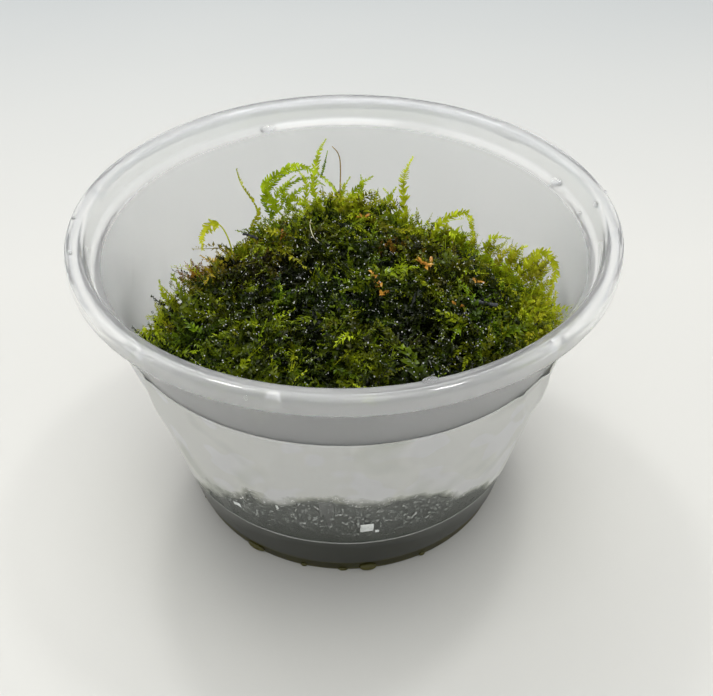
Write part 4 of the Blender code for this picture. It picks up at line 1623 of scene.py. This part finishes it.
# The heights are the rim's top, its two slopes and the ledge, each where the drop's own ray meets it
RIM_DROPS = (
    (605, 192, CUP_HEIGHT, 0.7, 0.5, 0.3),
    (74, 218, CUP_HEIGHT, 0.9, 0.6, 0.3),
    (70, 253, CUP_HEIGHT, 1.1, 0.7, 0.3),
    (430, 381, CUP_HEIGHT, 1.9, 0.9, 0.7),
    (596, 206, 44.8, 1.0, 0.7, 0.8),
    (246, 399, 44.3, 0.6, 0.4, 0.8),
    (268, 130, 41.9, 2.6, 1.6, 1.3),
    (557, 183, 42.25, 2.1, 1.5, 1.3),
    (551, 186, 41.75, 0.8, 0.7, 0.5),
    (579, 214, 41.95, 0.9, 0.8, 0.6),
)
FOOT_DROPS = (
    (206, 498, 0.02, 0.7, 0.5, 0.9),
    (259, 546, 0.02, 3.0, 0.9, 1.1),
    (305, 563, 0.02, 1.0, 0.5, 0.7),
    (343, 570, 0.02, 1.4, 0.5, 0.6),
    (368, 569, 0.02, 2.6, 1.2, 1.3),
    (421, 554, 0.02, 1.0, 0.5, 0.8),
)
FOOT_RADIUS = 24.15
make_drops("rim_drops", RIM_DROPS, clear_water)
make_drops("foot_drops", FOOT_DROPS, olive_water, FOOT_RADIUS)

# %% Water plugs in the rim's channel
# Each is (degrees round from the right, length in mm)
CHANNEL_PLUGS = ((355.3, 1.8), (45.1, 3.4), (167.0, 2.0), (229.1, 1.6), (258.0, 1.6), (313.5, 2.4))
CHANNEL_RADIUS = 35.8
CHANNEL_WIDTH = 0.96
CHANNEL_HEIGHT = 1.3
CHANNEL_Z = 43.8


def make_channel_water():
    plugs = []
    for degrees, length in CHANNEL_PLUGS:
        angle = math.radians(degrees)
        place = Vector((math.cos(angle) * CHANNEL_RADIUS, math.sin(angle) * CHANNEL_RADIUS, CHANNEL_Z))
        bpy.ops.mesh.primitive_cube_add(size=MM, location=place * MM, rotation=(0.0, 0.0, angle))
        plug = bpy.context.active_object
        plug.scale = (CHANNEL_WIDTH, length, CHANNEL_HEIGHT)
        bpy.ops.object.transform_apply(rotation=True, scale=True)
        rounding = plug.modifiers.new("Rounding", 'BEVEL')
        rounding.width = 0.38 * MM
        rounding.segments = 4
        apply_modifiers(plug)
        bpy.ops.object.shade_smooth()
        plugs.append(plug)
    return finish_piece(join_as_one(plugs), "channel_water", clear_water)


make_channel_water()

# %% Beads on the moss
BEAD_COUNT = 1100
BEAD_CELL = 0.45
BEAD_SEED = 3
BEAD_CLUSTER = 1.6
BEAD_CLUSTER_LEVEL = 0.10


def highest_points():
    """The highest point of the mat in each small cell, in millimetres."""
    points = np.vstack([mesh_points(bpy.data.objects[name].data) / MM for name in mat_parts])
    points = points[np.argsort(-points[:, 2])]
    cells = np.round(points[:, :2] / BEAD_CELL).astype(int)
    _, first = np.unique(cells, axis=0, return_index=True)
    return points[np.sort(first)]


def make_beads():
    random = np.random.default_rng(BEAD_SEED)
    bpy.ops.mesh.primitive_ico_sphere_add(subdivisions=1, radius=MM)
    ball_points, ball_faces = take_mesh(bpy.context.active_object)
    tops = highest_points()
    random.shuffle(tops)
    parts = []
    for top in tops:
        wet = mat_look(top[0], top[1])[2]
        in_cluster = noise.noise(Vector((top[0], top[1], 80.0)) / BEAD_CLUSTER) > BEAD_CLUSTER_LEVEL
        if random.uniform(0.4, 1.2) > wet or not in_cluster:
            continue
        radius = 0.05 + 0.06 * random.uniform() ** 2
        parts.append((ball_points * radius + top, ball_faces, {}))
        if len(parts) == BEAD_COUNT:
            break
    return join_arrays("moss_beads", parts)


beads = make_beads()
make_smooth(beads)
finish_piece(beads, "moss_beads", bead_water_painted_glint)

# %% [markdown]
# ## White flecks on the label
#
# Four small torn bits of white film are caught in the soaked part of the label. Each is a square
# that is subdivided, crumpled a little, and given a thickness, and lies on the wall. Vector noise
# starts from the clock unless it is given a seed, and with one the bits come out alike each time.

# %% Label flecks
# Each is (pixel across, pixel down, width, height)
LABEL_FLECKS = ((367, 528, 1.7, 1.9), (237, 504, 1.3, 0.8), (277, 507, 0.5, 0.7), (377, 531, 0.5, 0.6))
FLECK_COLOR = (0.80, 0.82, 0.79, 1.0)
FLECK_SHADED = (0.55, 0.57, 0.54, 1.0)
FLECK_SEED = 4


def point_on_wall(across, down, lift):
    """Where a pixel's ray meets the cup's outside below the ledge."""
    return walk_to(across, down, lambda place: max(
        math.hypot(place.x, place.y) - wall_outer_radius(place.z) - lift, place.z - WALL_TOP_Z))


def make_flecks():
    noise.seed_set(FLECK_SEED)
    flecks = []
    for number, (across, down, width, height) in enumerate(LABEL_FLECKS):
        place = point_on_wall(across, down, LABEL_GAP + LABEL_THICKNESS + LABEL_WAVE + 0.05)
        facing = Vector((place.x, place.y, -0.2 * math.hypot(place.x, place.y)))
        turn = facing.to_track_quat('Z', 'Y')
        bpy.ops.mesh.primitive_grid_add(x_subdivisions=5, y_subdivisions=5, size=MM)
        fleck = bpy.context.active_object
        for vertex in fleck.data.vertices:
            crumple = noise.noise_vector(Vector(vertex.co) / MM * 2.5 + Vector((number, 0.0, 0.0)))
            vertex.co.x = (vertex.co.x / MM * width + 0.12 * crumple.x) * MM
            vertex.co.y = (vertex.co.y / MM * height + 0.12 * crumple.y) * MM
            vertex.co.z = 0.05 * crumple.z * MM
        body = fleck.modifiers.new("Film", 'SOLIDIFY')
        body.thickness = 0.05 * MM
        apply_modifiers(fleck)
        fleck.rotation_euler = turn.to_euler()
        fleck.location = place * MM
        bpy.ops.object.transform_apply(location=True, rotation=True)
        flecks.append(fleck)
    material, tree, shader = new_material("torn_film", {"Metallic": 0.0, "Roughness": 0.5})
    tone = mottle(tree, 1800.0, -0.3, 1.0)
    tree.links.new(mix_colors(tree, tone, FLECK_COLOR, FLECK_SHADED), shader.inputs["Base Color"])
    return finish_piece(join_as_one(flecks), "label_flecks", material)


make_flecks()
